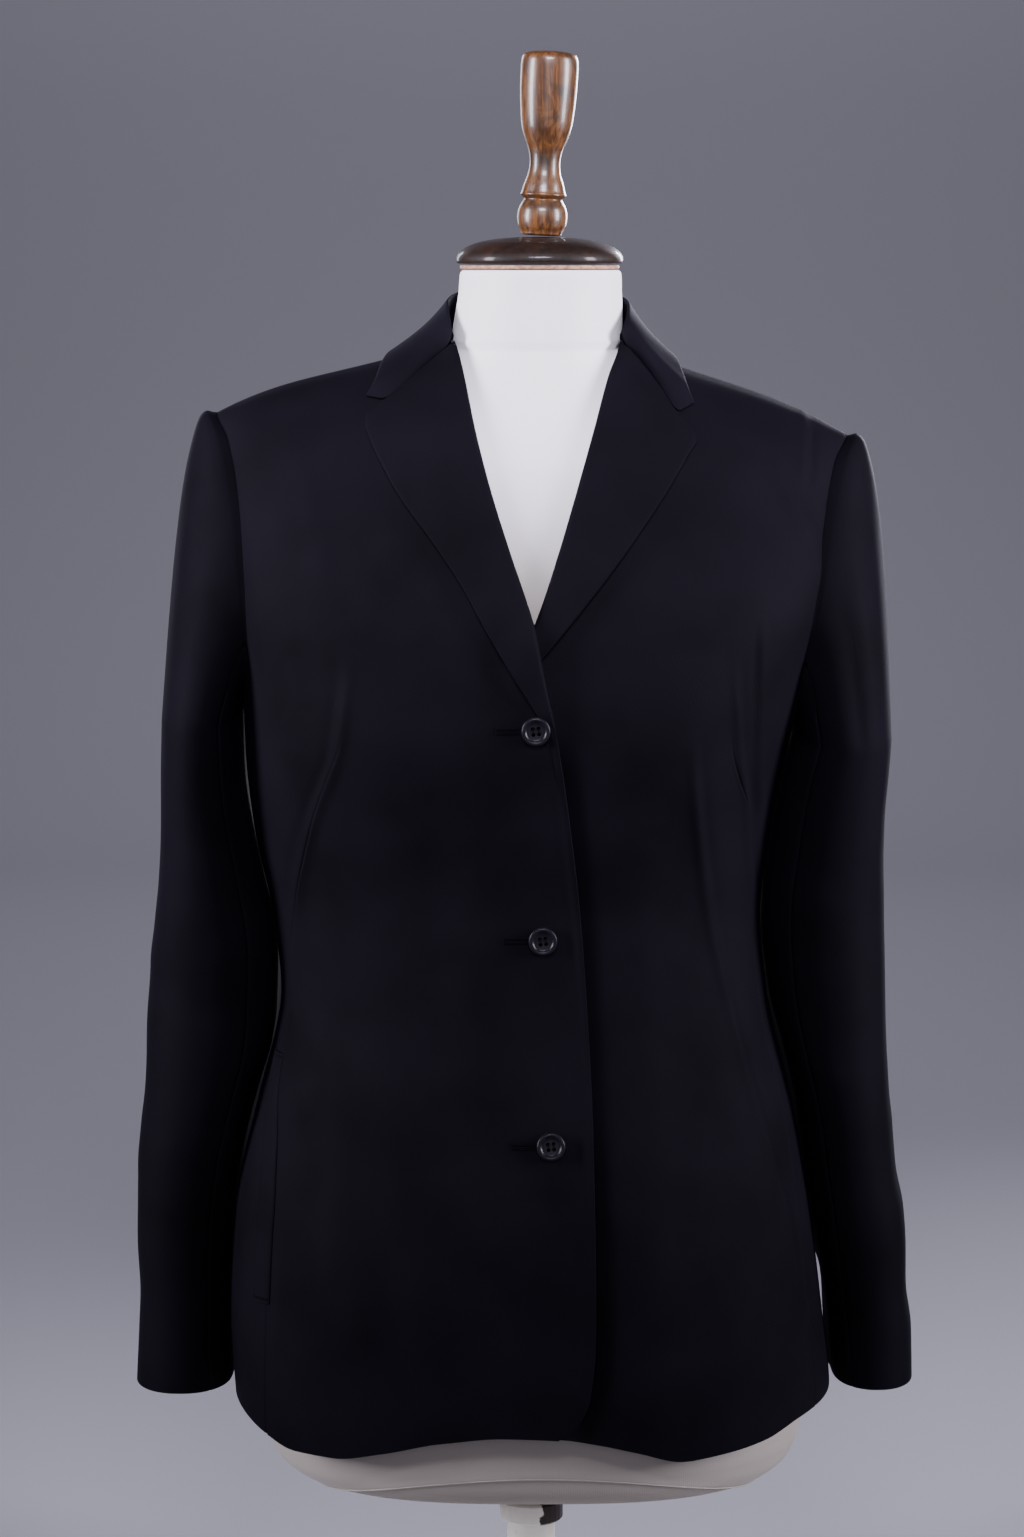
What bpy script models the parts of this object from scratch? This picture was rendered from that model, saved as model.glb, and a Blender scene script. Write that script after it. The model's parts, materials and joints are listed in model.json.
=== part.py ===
"""Single breasted blazer with notch lapels, standing on a limbless dress form.

Every size is in millimetres and is scaled to metres where a mesh is made. The wearer
faces -Y, the wearer's left is +X and the stand's flat foot is at height 0.
"""

import math

import bpy
import numpy as np
from mathutils import Matrix, Vector

MM = 0.001
RIGHT = -1
LEFT = 1
SIDE_NAMES = {RIGHT: "right", LEFT: "left"}

# Cloth
CLOTH = 1.8
SEAM_GAP = 0.3
LAPEL_CLOTH = 2.3
COLLAR_CLOTH = 2.2
OVERLAP_LIFT = 2.8
ROLL_LIFT = 3.7
LAPEL_CLEAR = 0.95
GORGE_CLEAR = 1.5

# Body of the blazer: half widths of the level sections on the wearer's two sides
TORSO_COLUMNS = ("height", "right", "left", "squareness")
TORSO = (
    (140, 186, 184, 2.5),
    (203, 192.6, 189, 2.5),
    (256, 195.3, 183.5, 2.45),
    (322, 192, 175, 2.4),
    (388, 177.5, 163.8, 2.35),
    (462, 162.2, 146.8, 2.3),
    (511, 166.5, 142.4, 2.3),
    (562, 177.2, 148, 2.35),
    (613, 182.6, 157.5, 2.45),
    (660, 184, 168.5, 2.65),
    (712, 188, 181, 3.0),
    (761, 193.5, 189, 3.0),
    (825, 203, 199, 3.0),
    (872, 206, 203, 3.0),
)

# How far the cloth stands in front of and behind the axis; nil at the shoulder ridge
DEPTH_COLUMNS = ("height", "front", "back")
DEPTH = (
    (140, 128, 128),
    (203, 132, 133),
    (262, 131, 137),
    (322, 127, 137),
    (388, 118, 124),
    (462, 107, 104),
    (520, 106, 96),
    (580, 116, 98),
    (640, 124, 105),
    (690, 122, 111),
    (735, 112, 113),
    (775, 97, 110),
    (810, 78, 99),
    (838, 57, 77),
    (856, 36, 51),
    (866, 17, 25),
    (870, 0, 0),
)
RIDGE_HEIGHT = 870.0
RIDGE_START = {RIGHT: 58.0, LEFT: 53.0}
RIDGE_SLOPE = {RIGHT: 0.315, LEFT: 0.414}
# The padded shoulders stand over the straight slope between two places across
RIDGE_PADDING_COLUMNS = ("start", "end", "power", "rise")
RIDGE_PADDING = {RIGHT: (70, 206, 1.75, 5.0), LEFT: (85, 204, 1.35, 4.9)}
RIDGE_END = 206.0
NECK_RADIUS = 58.0
NECK_BACK_RISE = 3.0
BUST_ACROSS = 92.0
BUST_HEIGHT = 640.0
BUST_WIDE = 52.0
BUST_TALL = 62.0
BUST_RISE = 9.0

# Armholes: angle round the body of the seam, by share of the armhole's height
ARMHOLE_BOTTOM = {RIGHT: 645.0, LEFT: 632.0}
ARMHOLE_TIP = {RIGHT: 200.6, LEFT: 196.3}
ARMHOLE_COLUMNS = ("share", "front", "back")
ARMHOLE = (
    (0.0, 90, 90),
    (0.03, 84, 84),
    (0.11, 76.5, 78),
    (0.27, 70.5, 73),
    (0.37, 69.0, 71),
    (0.5, 67.8, 69),
    (0.64, 66.6, 68),
    (0.78, 66.2, 67.5),
    (0.91, 68.2, 69),
    (1.0, 78, 78),
)

# Fronts: the overlap's edge below the break, and the lapels' roll line above it
EDGE_COLUMNS = ("height", "right", "left")
EDGE = (
    (196, 8, -12),
    (206, 15, -13),
    (212, 24, -13),
    (230, 32.5, -13),
    (274, 36, -13),
    (383, 34.3, -14),
    (504, 28, -19),
    (599, 17.4, -23),
    (648, 9.5, -26),
    (672, 4.6, -22),
    (704, -1.8, -1.6),
    (719, -6.6, 4.2),
    (745, -15.6, 12.7),
    (775, -25.4, 21.9),
    (800, -32.6, 29.3),
    (819, -37.4, 34.9),
    (851, -44.3, 44.2),
    (866, -48.4, 50.4),
    (876, -52.5, 52.8),
)
BREAK_HEIGHT = {RIGHT: 653.0, LEFT: 668.0}
LAPEL_FOOT = {RIGHT: 653.0, LEFT: 699.5}
HOOK_START = {RIGHT: 683.0, LEFT: 690.0}
ROLL_SETBACK = 4.3
HEM_COLUMNS = ("across", "height")
HEM = (
    (-192, 203),
    (-172, 193),
    (-150, 186),
    (-127, 186),
    (-96, 192),
    (-59, 201),
    (-22, 205.5),
    (15, 204.2),
    (39, 200.4),
    (63, 194.6),
    (91, 187.5),
    (113, 189.5),
    (142, 194.5),
    (165, 203),
    (189, 208),
)
BACK_HEM_HEIGHT = 199.0

# The curved dart from the bust that runs on as the side front seam
SEAM_COLUMNS = ("height", "right", "left")
SEAM = (
    (195, 58.5, 66),
    (273, 56.6, 67.5),
    (328, 57, 69),
    (375, 62.2, 70.5),
    (419, 69.4, 71),
    (445, 70.6, 71),
    (486, 68, 70.6),
    (525, 59.5, 69.3),
    (556, 51.2, 64.5),
    (583, 45.7, 57),
    (608, 40.1, 48.3),
    (630, 35.5, 42.5),
    (658, 32.7, 39),
)
SEAM_TOP = 658.0
SEAM_DEPTH = 0.9
EDGE_TO_SEAM = (0, 0.05, 0.13, 0.25, 0.39, 0.53, 0.67, 0.81, 0.93, 1.0)
SEAM_TO_SIDE = (0, 0.33, 0.67, 1.0)
UPPER_ROWS = (0.035, 0.09, 0.17, 0.28, 0.41, 0.54, 0.67, 0.79, 0.885, 0.95, 0.985, 1.0)
BACK_TOP_SHARES = (0, 0.085, 0.16, 0.222, 0.268, 0.293, 0.42, 0.56, 0.7, 0.85, 1.0)

# Lapels: the outer edge from the break to the corner, as across and height of each side
LAPEL_COLUMNS = ("share", "right_across", "right_height", "left_across", "left_height")
LAPEL_EDGE = (
    (0.0, -0.8, 651.6, -0.5, 680.0),
    (0.12, -10.2, 667, 9, 691),
    (0.25, -28, 696, 24, 709),
    (0.4, -46, 728, 44, 734),
    (0.55, -64, 754, 61, 757),
    (0.72, -83, 779, 80, 784),
    (0.88, -97.5, 804, 93, 804.5),
    (1.0, -107.1, 825.2, 98.8, 812.5),
)
GORGE_COLUMNS = ("share", "right_across", "right_height", "left_across", "left_height")
GORGE = (
    (0.0, -50.5, 871, 51.7, 871),
    (0.25, -64.5, 859.6, 63.5, 860.6),
    (0.5, -79, 847.4, 74.6, 846.6),
    (0.75, -92.6, 836, 85.7, 828.3),
    (1.0, -107.1, 825.2, 98.8, 812.5),
)
LAPEL_TOP_HEIGHT = 871.0
LAPEL_BELLY = 2.2

# Collar: neck seam, roll and leaf edge of each station, from the gorge to the centre
# back, as degrees behind the wearer's side, distance from the neck's axis and height
COLLAR_COLUMNS = (
    "station", "seam_turn", "seam_radius", "seam_height", "roll_turn", "roll_radius",
    "roll_height", "edge_turn", "edge_radius", "edge_height",
)
COLLAR_HALF = {
    RIGHT: (
        (0.0, -23.8, 58.2, 871.0, -32.2, 61.9, 875.5, -24.4, 114.8, 838),
        (0.1, -14.1, 57.4, 871.2, -22.0, 58.7, 884, -19.4, 105.8, 848.0),
        (0.25, 4, 57.4, 871.2, 0, 55.8, 894, 2.4, 90.5, 864.0),
        (0.38, 45, 57.5, 872.2, 43, 56.8, 902, 44, 80, 861.5),
        (0.5, 90, 57.6, 873.8, 90, 58.2, 906, 90, 75, 857),
    ),
    LEFT: (
        (0.0, -23.8, 58.2, 871.0, -31.9, 62.4, 875.5, -26.9, 108.3, 833.5),
        (0.1, -13.9, 58.1, 871.2, -21.3, 60.6, 884, -17.6, 97.2, 847),
        (0.25, 4, 58.1, 871.2, 0, 58.3, 893, 2.5, 85.0, 862.4),
        (0.38, 45, 57.8, 872.2, 43, 58.3, 901, 44, 78.6, 860.5),
        (0.5, 90, 57.6, 873.8, 90, 58.2, 906, 90, 75, 857),
    ),
}
COLLAR_STATIONS = (0, 0.03, 0.07, 0.12, 0.17, 0.22, 0.275, 0.33, 0.385, 0.44)
NOTCH_AT = 0.75
LAPEL_FALLS = (0, 0.07, 0.2, 0.4, 0.6, 0.75, 0.9, 1.0)
COLLAR_BELLY = -1.4

# Sleeves: extent of each level section, outer and inner counted from the axis
SLEEVE_COLUMNS = ("height", "outer", "inner", "front", "back", "tuck")
SLEEVE = {
    RIGHT: (
        (635, 235.2, 187.0, -68.0, 74.0, 12),
        (600, 236.6, 185.6, -62.0, 74.0, 12),
        (560, 237.5, 179.8, -54.0, 74.0, 12),
        (530, 239.2, 173.2, -48.2, 72.8, 12),
        (505, 242.6, 167.9, -44.2, 71.3, 12),
        (476, 247.8, 165.2, -41.4, 69.6, 12),
        (450, 248.6, 165.8, -40.1, 68.4, 12),
        (420, 248.9, 170.3, -40.0, 67.0, 12),
        (398, 250.0, 177.1, -40.0, 65.9, 12),
        (372, 253.0, 184.3, -38.7, 64.6, 12),
        (345, 254.8, 190.6, -37.2, 63.2, 12),
        (319, 254.7, 194.7, -35.9, 61.9, 12),
        (293, 255.1, 196.7, -34.6, 60.7, 12),
        (267, 254.6, 197.3, -33.7, 59.5, 11),
        (240, 255.9, 197.4, -33.0, 58.0, 9),
        (203.5, 257.9, 196.2, -32.0, 57.0, 9),
    ),
    LEFT: (
        (622, 223.4, 164.5, -66.0, 72.0, 12),
        (600, 222.4, 158.2, -62.0, 72.0, 12),
        (579, 221.7, 153.6, -57.7, 72.0, 12),
        (553, 222.5, 149.3, -52.7, 71.9, 12),
        (528, 222.8, 145.8, -48.4, 70.9, 12),
        (502, 222.4, 145.0, -44.9, 69.6, 12),
        (476, 222.7, 147.3, -41.9, 68.6, 12),
        (450, 223.4, 151.2, -40.6, 67.4, 12),
        (424, 224.7, 158.0, -40.1, 66.2, 12),
        (398, 227.3, 164.9, -39.4, 65.3, 12),
        (372, 231.0, 170.0, -38.2, 64.2, 12),
        (345, 231.9, 174.2, -36.8, 62.8, 12),
        (319, 236.3, 178.1, -35.9, 61.9, 12),
        (293, 238.3, 182.2, -34.7, 60.8, 11),
        (267, 239.1, 186.1, -33.7, 59.5, 5),
        (240, 242.8, 189.6, -33.0, 58.0, 7),
        (206, 243.8, 192.4, -32.0, 57.0, 8),
    ),
}
# Each sleeve's inner side hangs round behind the body: angle of the deepest place and spread
SLEEVE_TUCK_TURN = 225.0
SLEEVE_TUCK_SPREAD = 22.0
SLEEVE_HEAD_REACH = {RIGHT: 0.27, LEFT: 0.35}
SLEEVE_SQUARENESS = 2.25
SLEEVE_HEAD_PUFF = 1.9
SLEEVE_HEAD_SWELL = {RIGHT: 0.4, LEFT: 2.3}
SLEEVE_SEAM_FRONT = 7
SLEEVE_SEAM_BACK = 14
SLEEVE_AROUND = 20
SLEEVE_CAP_RINGS = 7
SLEEVE_TUBE_RINGS = 14
FOLD_COLUMNS = ("height", "turn", "rise", "tall", "wide")
SLEEVE_FOLDS = {
    RIGHT: (
        (512, 60, 2.4, 34, 40),
        (470, 20, -2.2, 26, 50),
        (430, 70, 2.0, 30, 44),
        (300, 40, 1.8, 40, 46),
        (250, 75, -1.6, 28, 40),
    ),
    LEFT: (
        (600, 55, 2.0, 46, 36),
        (545, 15, -1.8, 34, 50),
        (455, 65, 2.4, 30, 42),
        (372, 30, -2.4, 26, 48),
        (300, 60, 2.2, 32, 40),
    ),
}

# Largest drape folds of the fronts: from one end to the other, rise and half width
DRAPE_COLUMNS = (
    "top_across", "top_height", "foot_across", "foot_height", "rise", "half_width",
)
DRAPES = {
    RIGHT: (
        (-120, 420, -105, 250, 2.2, 17),
        (-62, 360, -58, 205, 1.6, 20),
    ),
    LEFT: (
        (96, 612, 122, 452, 2.4, 13),
        (122, 452, 171, 236, 3.4, 17),
        (60, 380, 76, 205, 1.8, 22),
    ),
}

# Welt pocket in the right side front seam
WELT_TOP = 427.0
WELT_FOOT = 276.0
WELT_WIDTH = 17.0
WELT_CLOTH = 1.7
WELT_CLEAR = 0.75

# Buttons
BUTTON_COLUMNS = ("name", "across", "height")
BUTTONS = (
    ("button_top", -0.7, 640.6),
    ("button_middle", 3.8, 510.0),
    ("button_low", 8.7, 385.2),
)
BUTTON_RADIUS = 8.9
BUTTON_THICK = 3.4
BUTTON_DISH = 6.2
BUTTON_DISH_DEPTH = 0.9
BUTTON_HOLE_RADIUS = 0.95
BUTTON_HOLE_PITCH = 1.75
BUTTON_CLEAR = 0.35

# Dress form
FORM_COLUMNS = ("height", "side", "front", "back")
FORM_EASE = (
    (150, 16, 14, 14),
    (200, 14, 13, 13),
    (260, 9, 8, 8),
    (320, 4.5, 4, 4),
    (400, 5, 5, 5),
    (470, 7, 8, 6),
    (560, 5, 6, 5),
    (640, 2.4, 2.4, 3),
    (700, 1.8, 2.0, 2.6),
    (760, 1.4, 1.6, 2),
    (830, 1.0, 1.1, 1.1),
    (870, 0.9, 1.0, 1.0),
)
FORM_FOOT = 150.0
FORM_ROUNDING = ((150, 27), (151.8, 17), (156.5, 8.5), (164, 2.6), (174, 0))
FORM_LEVELS = (
    190, 225, 265, 310, 355, 400, 445, 485, 525, 570, 615, 655, 690, 722, 752, 778,
    800, 817, 830, 841, 850, 858, 865,
)
FORM_AROUND = 32
FORM_NECK_RADIUS = 54.6
NECK_COLUMNS = ("height", "radius", "lean")
NECK = (
    (869.5, 53.4, 0.4),
    (877, 52.9, 0.8),
    (886, 52.2, 1.6),
    (899, 50.9, 2.5),
    (912.4, 50.0, 2.8),
    (914, 48.6, 2.8),
)

# Neck cap, finial and stand: turned shapes, as radius and height of the outer side
NECK_CENTRE = (2.2, 0.5)
DISC_PROFILE = ((0, 914.3), (48.6, 914.3), (49.6, 915.3), (49.6, 916.6), (48.8, 917.3), (0, 917.3))
CAP_PROFILE = (
    (0, 917.6), (50.4, 917.6), (51.8, 919), (52.0, 921.4), (50.6, 924.6), (46.6, 928.0),
    (38, 931.4), (26, 933.5), (12, 934.4), (0, 934.6),
)
FINIAL_PROFILE = (
    (0, 0.3), (12.4, 0.3), (12.8, 2.4), (14.8, 6), (15.7, 11.5), (15.0, 17), (12.6, 21.4),
    (13.9, 25.5), (12.6, 32), (10.0, 38.5), (9.2, 45), (10.2, 52), (13.4, 60),
    (15.8, 67), (17.6, 86), (17.9, 104), (16.6, 110), (9, 113.2), (0, 113.7),
)
FINIAL_ACROSS = 3.2
FINIAL_SEAT = 934.9
FINIAL_LEAN = math.radians(2.8)
POLE_ACROSS = -2.6
FLANGE_PROFILE = ((0, 145.6), (25, 145.6), (26, 146.6), (26, 148.7), (25, 149.7), (0, 149.7))
CLAMP_PROFILE = (
    (15.7, 112), (19.6, 112), (20.6, 113), (20.6, 124), (19.6, 125), (15.7, 125), (15.7, 112),
)
POLE_PROFILE = ((0, 16.4), (14.6, 16.4), (15.4, 17.2), (15.4, 144.5), (14.6, 145.3), (0, 145.3))
BASE_PROFILE = (
    (0, 0), (146, 0), (150, 3), (150, 9), (147, 12.6), (138, 15), (60, 16.1), (0, 16.1),
)
TURNED_STEPS = 28


def smooth_step(share):
    """Ease from 0 to 1 with level ends."""
    share = np.clip(share, 0, 1)
    return share * share * (3 - 2 * share)


def smooth_column(at, known_at, known):
    """A smooth curve through the rows of a table that never overshoots a row."""
    known_at = np.asarray(known_at, float)
    known = np.asarray(known, float)
    at = np.clip(np.asarray(at, float), known_at[0], known_at[-1])
    steps = np.diff(known_at)
    rises = np.diff(known) / steps
    slopes = np.zeros_like(known)
    slopes[0] = rises[0]
    slopes[-1] = rises[-1]
    same_way = rises[:-1] * rises[1:] > 0
    weight_before = 2 * steps[1:] + steps[:-1]
    weight_after = steps[1:] + 2 * steps[:-1]
    safe_before = np.where(same_way, rises[:-1], 1.0)
    safe_after = np.where(same_way, rises[1:], 1.0)
    mean = (weight_before + weight_after) / (
        weight_before / safe_before + weight_after / safe_after
    )
    slopes[1:-1] = np.where(same_way, mean, 0.0)
    row = np.clip(np.searchsorted(known_at, at, side="right") - 1, 0, len(steps) - 1)
    step = steps[row]
    share = (at - known_at[row]) / step
    return (
        (1 + 2 * share) * (1 - share) ** 2 * known[row]
        + share * (1 - share) ** 2 * step * slopes[row]
        + share * share * (3 - 2 * share) * known[row + 1]
        + share * share * (share - 1) * step * slopes[row + 1]
    )


def column(table, columns, name, at):
    """Read a named column of a table at any place of its first column."""
    index = columns.index(name)
    rows = sorted(table)
    return smooth_column(at, [row[0] for row in rows], [row[index] for row in rows])


def half_width(across, height):
    """Half width of the body on the side that a point is on."""
    right = column(TORSO, TORSO_COLUMNS, "right", height)
    left = column(TORSO, TORSO_COLUMNS, "left", height)
    return np.where(np.asarray(across) < 0, right, left)


def ridge_height(across):
    """Height of the shoulder line over a place across the body."""
    across = np.asarray(across, float)
    start = np.where(across < 0, RIDGE_START[RIGHT], RIDGE_START[LEFT])
    slope = np.where(across < 0, RIDGE_SLOPE[RIGHT], RIDGE_SLOPE[LEFT])
    height = RIDGE_HEIGHT - slope * np.maximum(0, np.abs(across) - start)
    for side in (RIGHT, LEFT):
        padding = dict(zip(RIDGE_PADDING_COLUMNS, RIDGE_PADDING[side]))
        share = (side * across - padding["start"]) / (padding["end"] - padding["start"])
        share = np.clip(share, 0, 1) ** padding["power"]
        height = height + padding["rise"] * np.sin(math.pi * share)
    return height


def body_depth(across, height, face, neck_radius=NECK_RADIUS):
    """Depth of the body's front or back before its sides round off."""
    across = np.asarray(across, float)
    height = np.asarray(height, float)
    shoulder = smooth_step((height - 690) / 110)
    level = height + (RIDGE_HEIGHT - ridge_height(across)) * shoulder
    depth = column(DEPTH, DEPTH_COLUMNS, face, level)
    neck = np.sqrt(np.maximum(0, neck_radius**2 - across**2))
    neck = neck * smooth_step((height - 770) / 90)
    depth = (depth**3 + neck**3) ** (1 / 3)
    if face == "front":
        aside = ((np.abs(across) - BUST_ACROSS) / BUST_WIDE) ** 2
        above = ((height - BUST_HEIGHT) / BUST_TALL) ** 2
        depth = depth + BUST_RISE * np.exp(-aside - above)
    return depth


def body_point(turn, height, face):
    """Outer surface of the cloth at an angle from the centre line, + to the left."""
    turn = np.asarray(turn, float)
    height = np.asarray(height, float)
    power = 2 / column(TORSO, TORSO_COLUMNS, "squareness", height)
    across = np.sign(turn) * half_width(turn, height) * np.abs(np.sin(turn)) ** power
    out = body_depth(across, height, face) * np.abs(np.cos(turn)) ** power
    if face == "front":
        out = -out
    return np.stack([across, out, height + 0 * across], axis=-1)


def turn_at(across, height):
    """Angle round the body of a place across it."""
    across = np.asarray(across, float)
    squareness = column(TORSO, TORSO_COLUMNS, "squareness", height)
    share = np.clip(np.abs(across) / half_width(across, height), 0, 1)
    return np.sign(across) * np.arcsin(share ** (squareness / 2))


def front_at(across, height):
    """Outer surface of a front panel over a place across and a height."""
    return body_point(turn_at(across, height), height, "front")


def armhole_turn(side, height, face):
    """Angle round the body of the armhole seam at a height."""
    tip = ridge_height(side * ARMHOLE_TIP[side])
    share = (np.asarray(height, float) - ARMHOLE_BOTTOM[side]) / (
        tip - ARMHOLE_BOTTOM[side]
    )
    return side * np.radians(column(ARMHOLE, ARMHOLE_COLUMNS, face, share))


def edge_across(side, height):
    """Across of a front's overlap edge or, above the break, of its roll line."""
    return column(EDGE, EDGE_COLUMNS, SIDE_NAMES[side], height)


def right_lift(across, height):
    """How far the right front rides over the left one."""
    near = smooth_step((np.asarray(across, float) + 66) / 36)
    below = 1 - smooth_step((np.asarray(height, float) - 712) / 46)
    over_lapel = ROLL_LIFT * np.exp(-(((np.asarray(height, float) - 690) / 20) ** 2))
    over_lapel = over_lapel * smooth_step((np.asarray(across, float) + 22) / 16)
    return (OVERLAP_LIFT + over_lapel) * near * below


def lift_of(side, across, height):
    """Rise of a front panel over the body's surface: overlap and drape folds."""
    across = np.asarray(across, float)
    height = np.asarray(height, float)
    lift = np.zeros(np.broadcast(across, height).shape)
    for drape in DRAPES[side]:
        fold = dict(zip(DRAPE_COLUMNS, drape))
        run = np.array(
            [
                fold["foot_across"] - fold["top_across"],
                fold["foot_height"] - fold["top_height"],
            ]
        )
        length = np.hypot(*run)
        along = (across - fold["top_across"]) * run[0] / length
        along = along + (height - fold["top_height"]) * run[1] / length
        off = (across - fold["top_across"]) * run[1] / length
        off = off - (height - fold["top_height"]) * run[0] / length
        ends = smooth_step(along / 50 + 0.5) * smooth_step((length - along) / 50 + 0.5)
        lift = lift + fold["rise"] * ends * np.exp(-((off / fold["half_width"]) ** 2))
    if side == RIGHT:
        lift = lift + right_lift(across, height)
    return lift


def grid_normals(grid, outward):
    """Unit normals of a grid of points, turned to the side that outward names."""
    along = np.gradient(grid, axis=0)
    across = np.gradient(grid, axis=1)
    normals = np.cross(along, across)
    normals /= np.maximum(np.linalg.norm(normals, axis=-1, keepdims=True), 1e-9)
    if np.sum(normals * outward) < 0:
        normals = -normals
    return normals


def signed_volume(points, faces):
    """Volume that a closed mesh holds, negative where its faces point inwards."""
    total = 0.0
    for face in faces:
        for second in range(1, len(face) - 1):
            corners = points[[face[0], face[second], face[second + 1]]]
            total += np.linalg.det(corners)
    return total


def make_object(name, points, faces, material, sharp_angle=50.0):
    """Add a closed mesh, faces out, shaded smooth but for its sharp edges."""
    points = np.asarray(points, float)
    if signed_volume(points, faces) < 0:
        faces = [tuple(reversed(face)) for face in faces]
    mesh = bpy.data.meshes.new(name)
    mesh.from_pydata([tuple(point * MM) for point in points], [], faces)
    mesh.validate()
    mesh.update()
    mesh.shade_smooth()
    mesh.set_sharp_from_angle(angle=math.radians(sharp_angle))
    mesh.materials.append(material)
    thing = bpy.data.objects.new(name, mesh)
    collection.objects.link(thing)
    return thing


def make_shell(name, outer, inner, material):
    """Close two matching grids of points into one piece of cloth."""
    rows, columns = outer.shape[:2]
    points = np.concatenate([outer.reshape(-1, 3), inner.reshape(-1, 3)])
    below = rows * columns
    faces = []
    for row in range(rows - 1):
        for place in range(columns - 1):
            corner = row * columns + place
            quad = (corner, corner + 1, corner + columns + 1, corner + columns)
            faces.append(quad)
            faces.append(tuple(index + below for index in reversed(quad)))
    rim = list(range(columns))
    rim += [row * columns + columns - 1 for row in range(1, rows)]
    rim += [(rows - 1) * columns + place for place in range(columns - 2, -1, -1)]
    rim += [row * columns for row in range(rows - 2, 0, -1)]
    for start, end in zip(rim, rim[1:] + rim[:1]):
        faces.append((end, start, start + below, end + below))
    return make_object(name, points, faces, material)


def make_loft(name, rings, material, sharp_angle=50.0, strip=None):
    """Close a run of rings; strip names the ends of a long thin part of each cap."""
    count = len(rings[0])
    points = np.concatenate(rings)
    faces = []
    for row in range(len(rings) - 1):
        for place in range(count):
            nearby = (place + 1) % count
            start = row * count
            faces.append(
                (start + place, start + nearby, start + count + nearby, start + count + place)
            )
    cap = []
    body = list(range(count))
    if strip:
        near, far = strip
        for step in range((far - near) // 2):
            cap.append((near + step, near + step + 1, far - step - 1, far - step))
        body = list(range(near + 1)) + list(range(far, count))
    cap.append(tuple(body))
    last = (len(rings) - 1) * count
    for face in cap:
        faces.append(tuple(reversed(face)))
        faces.append(tuple(index + last for index in face))
    return make_object(name, points, faces, material, sharp_angle)


def make_material(name, colour, roughness, metallic=0.0):
    """A Principled material of one linear colour."""
    material = bpy.data.materials.new(name)
    material.use_nodes = True
    shader = material.node_tree.nodes["Principled BSDF"]
    shader.inputs["Base Color"].default_value = (*colour, 1.0)
    shader.inputs["Roughness"].default_value = roughness
    shader.inputs["Metallic"].default_value = metallic
    return material


def front_turn(side, place, height):
    """Angle round the body of one column of a front panel at a height."""
    edge = edge_across(side, height)
    set_back = smooth_step((height - BREAK_HEIGHT[side]) / 12) * ROLL_SETBACK
    start = float(turn_at(edge + side * set_back, height))
    end = side * math.pi / 2
    if height > ARMHOLE_BOTTOM[side]:
        tip = float(ridge_height(side * ARMHOLE_TIP[side]))
        end = float(armhole_turn(side, min(height, tip), "front"))
    seam = side * math.radians(
        float(column(SEAM, SEAM_COLUMNS, SIDE_NAMES[side], height))
    )
    near = side * math.radians(1.2)
    if place < len(EDGE_TO_SEAM):
        return start + (seam - near - start) * EDGE_TO_SEAM[place]
    if place == len(EDGE_TO_SEAM):
        return seam
    share = SEAM_TO_SIDE[place - len(EDGE_TO_SEAM) - 1]
    return seam + near + (end - seam - near) * share


def front_grid(side):
    """Outer points of a front panel, from the hem to the shoulder seam."""
    lower = np.linspace(0, 1, 16) ** 1.15
    places = len(EDGE_TO_SEAM) + 1 + len(SEAM_TO_SIDE)
    hems = []
    middles = []
    tops = []
    for place in range(places):
        height = 200.0
        for _ in range(12):
            across = body_point(front_turn(side, place, height), height, "front")[0]
            height = float(column(HEM, HEM_COLUMNS, "height", across))
        hems.append(height)
        height = 850.0
        for _ in range(24):
            across = body_point(front_turn(side, place, height), height, "front")[0]
            height = 0.5 * height + 0.5 * float(ridge_height(across))
        tops.append(height)
        share = place / (places - 1)
        middles.append(
            BREAK_HEIGHT[side] + (ARMHOLE_BOTTOM[side] - BREAK_HEIGHT[side]) * share
        )
    rows = []
    for share in list(lower) + [1 + value for value in UPPER_ROWS]:
        row = []
        for place in range(places):
            if share <= 1:
                height = hems[place] + share * (middles[place] - hems[place])
            else:
                height = middles[place] + (share - 1) * (tops[place] - middles[place])
            turn = front_turn(side, place, height)
            point = body_point(turn, height, "front")
            point[1] -= float(lift_of(side, point[0], height))
            if place == len(EDGE_TO_SEAM) and height < SEAM_TOP:
                point[0] -= side * SEAM_DEPTH * math.sin(abs(turn))
                point[1] += SEAM_DEPTH * math.cos(turn)
            row.append(point)
        rows.append(row)
    grid = np.array(rows)
    grid[-1, :, 1] = np.minimum(grid[-1, :, 1], -SEAM_GAP / 2)
    grid[: len(lower), -1, 1] -= SEAM_GAP / 2
    return grid


def back_top(across):
    """Height of the back's top edge: neck seam, then shoulder seam."""
    inside = np.maximum(0, 1 - (np.abs(across) / NECK_RADIUS) ** 2)
    return ridge_height(across) + NECK_BACK_RISE * inside


def back_turn(side, place, height):
    """Angle round the body of one column of a back panel at a height."""
    end = side * math.pi / 2
    if height > ARMHOLE_BOTTOM[side]:
        tip = float(ridge_height(side * ARMHOLE_TIP[side]))
        end = float(armhole_turn(side, min(height, tip), "back"))
    even = end * place / (len(BACK_TOP_SHARES) - 1)
    across = side * ARMHOLE_TIP[side] * BACK_TOP_SHARES[place]
    top = float(turn_at(across, max(height, 700.0)))
    top = min(abs(top), abs(end)) * side
    near_top = float(smooth_step((height - 700) / 130))
    return side * 1e-5 + even * (1 - near_top) + top * near_top


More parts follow.
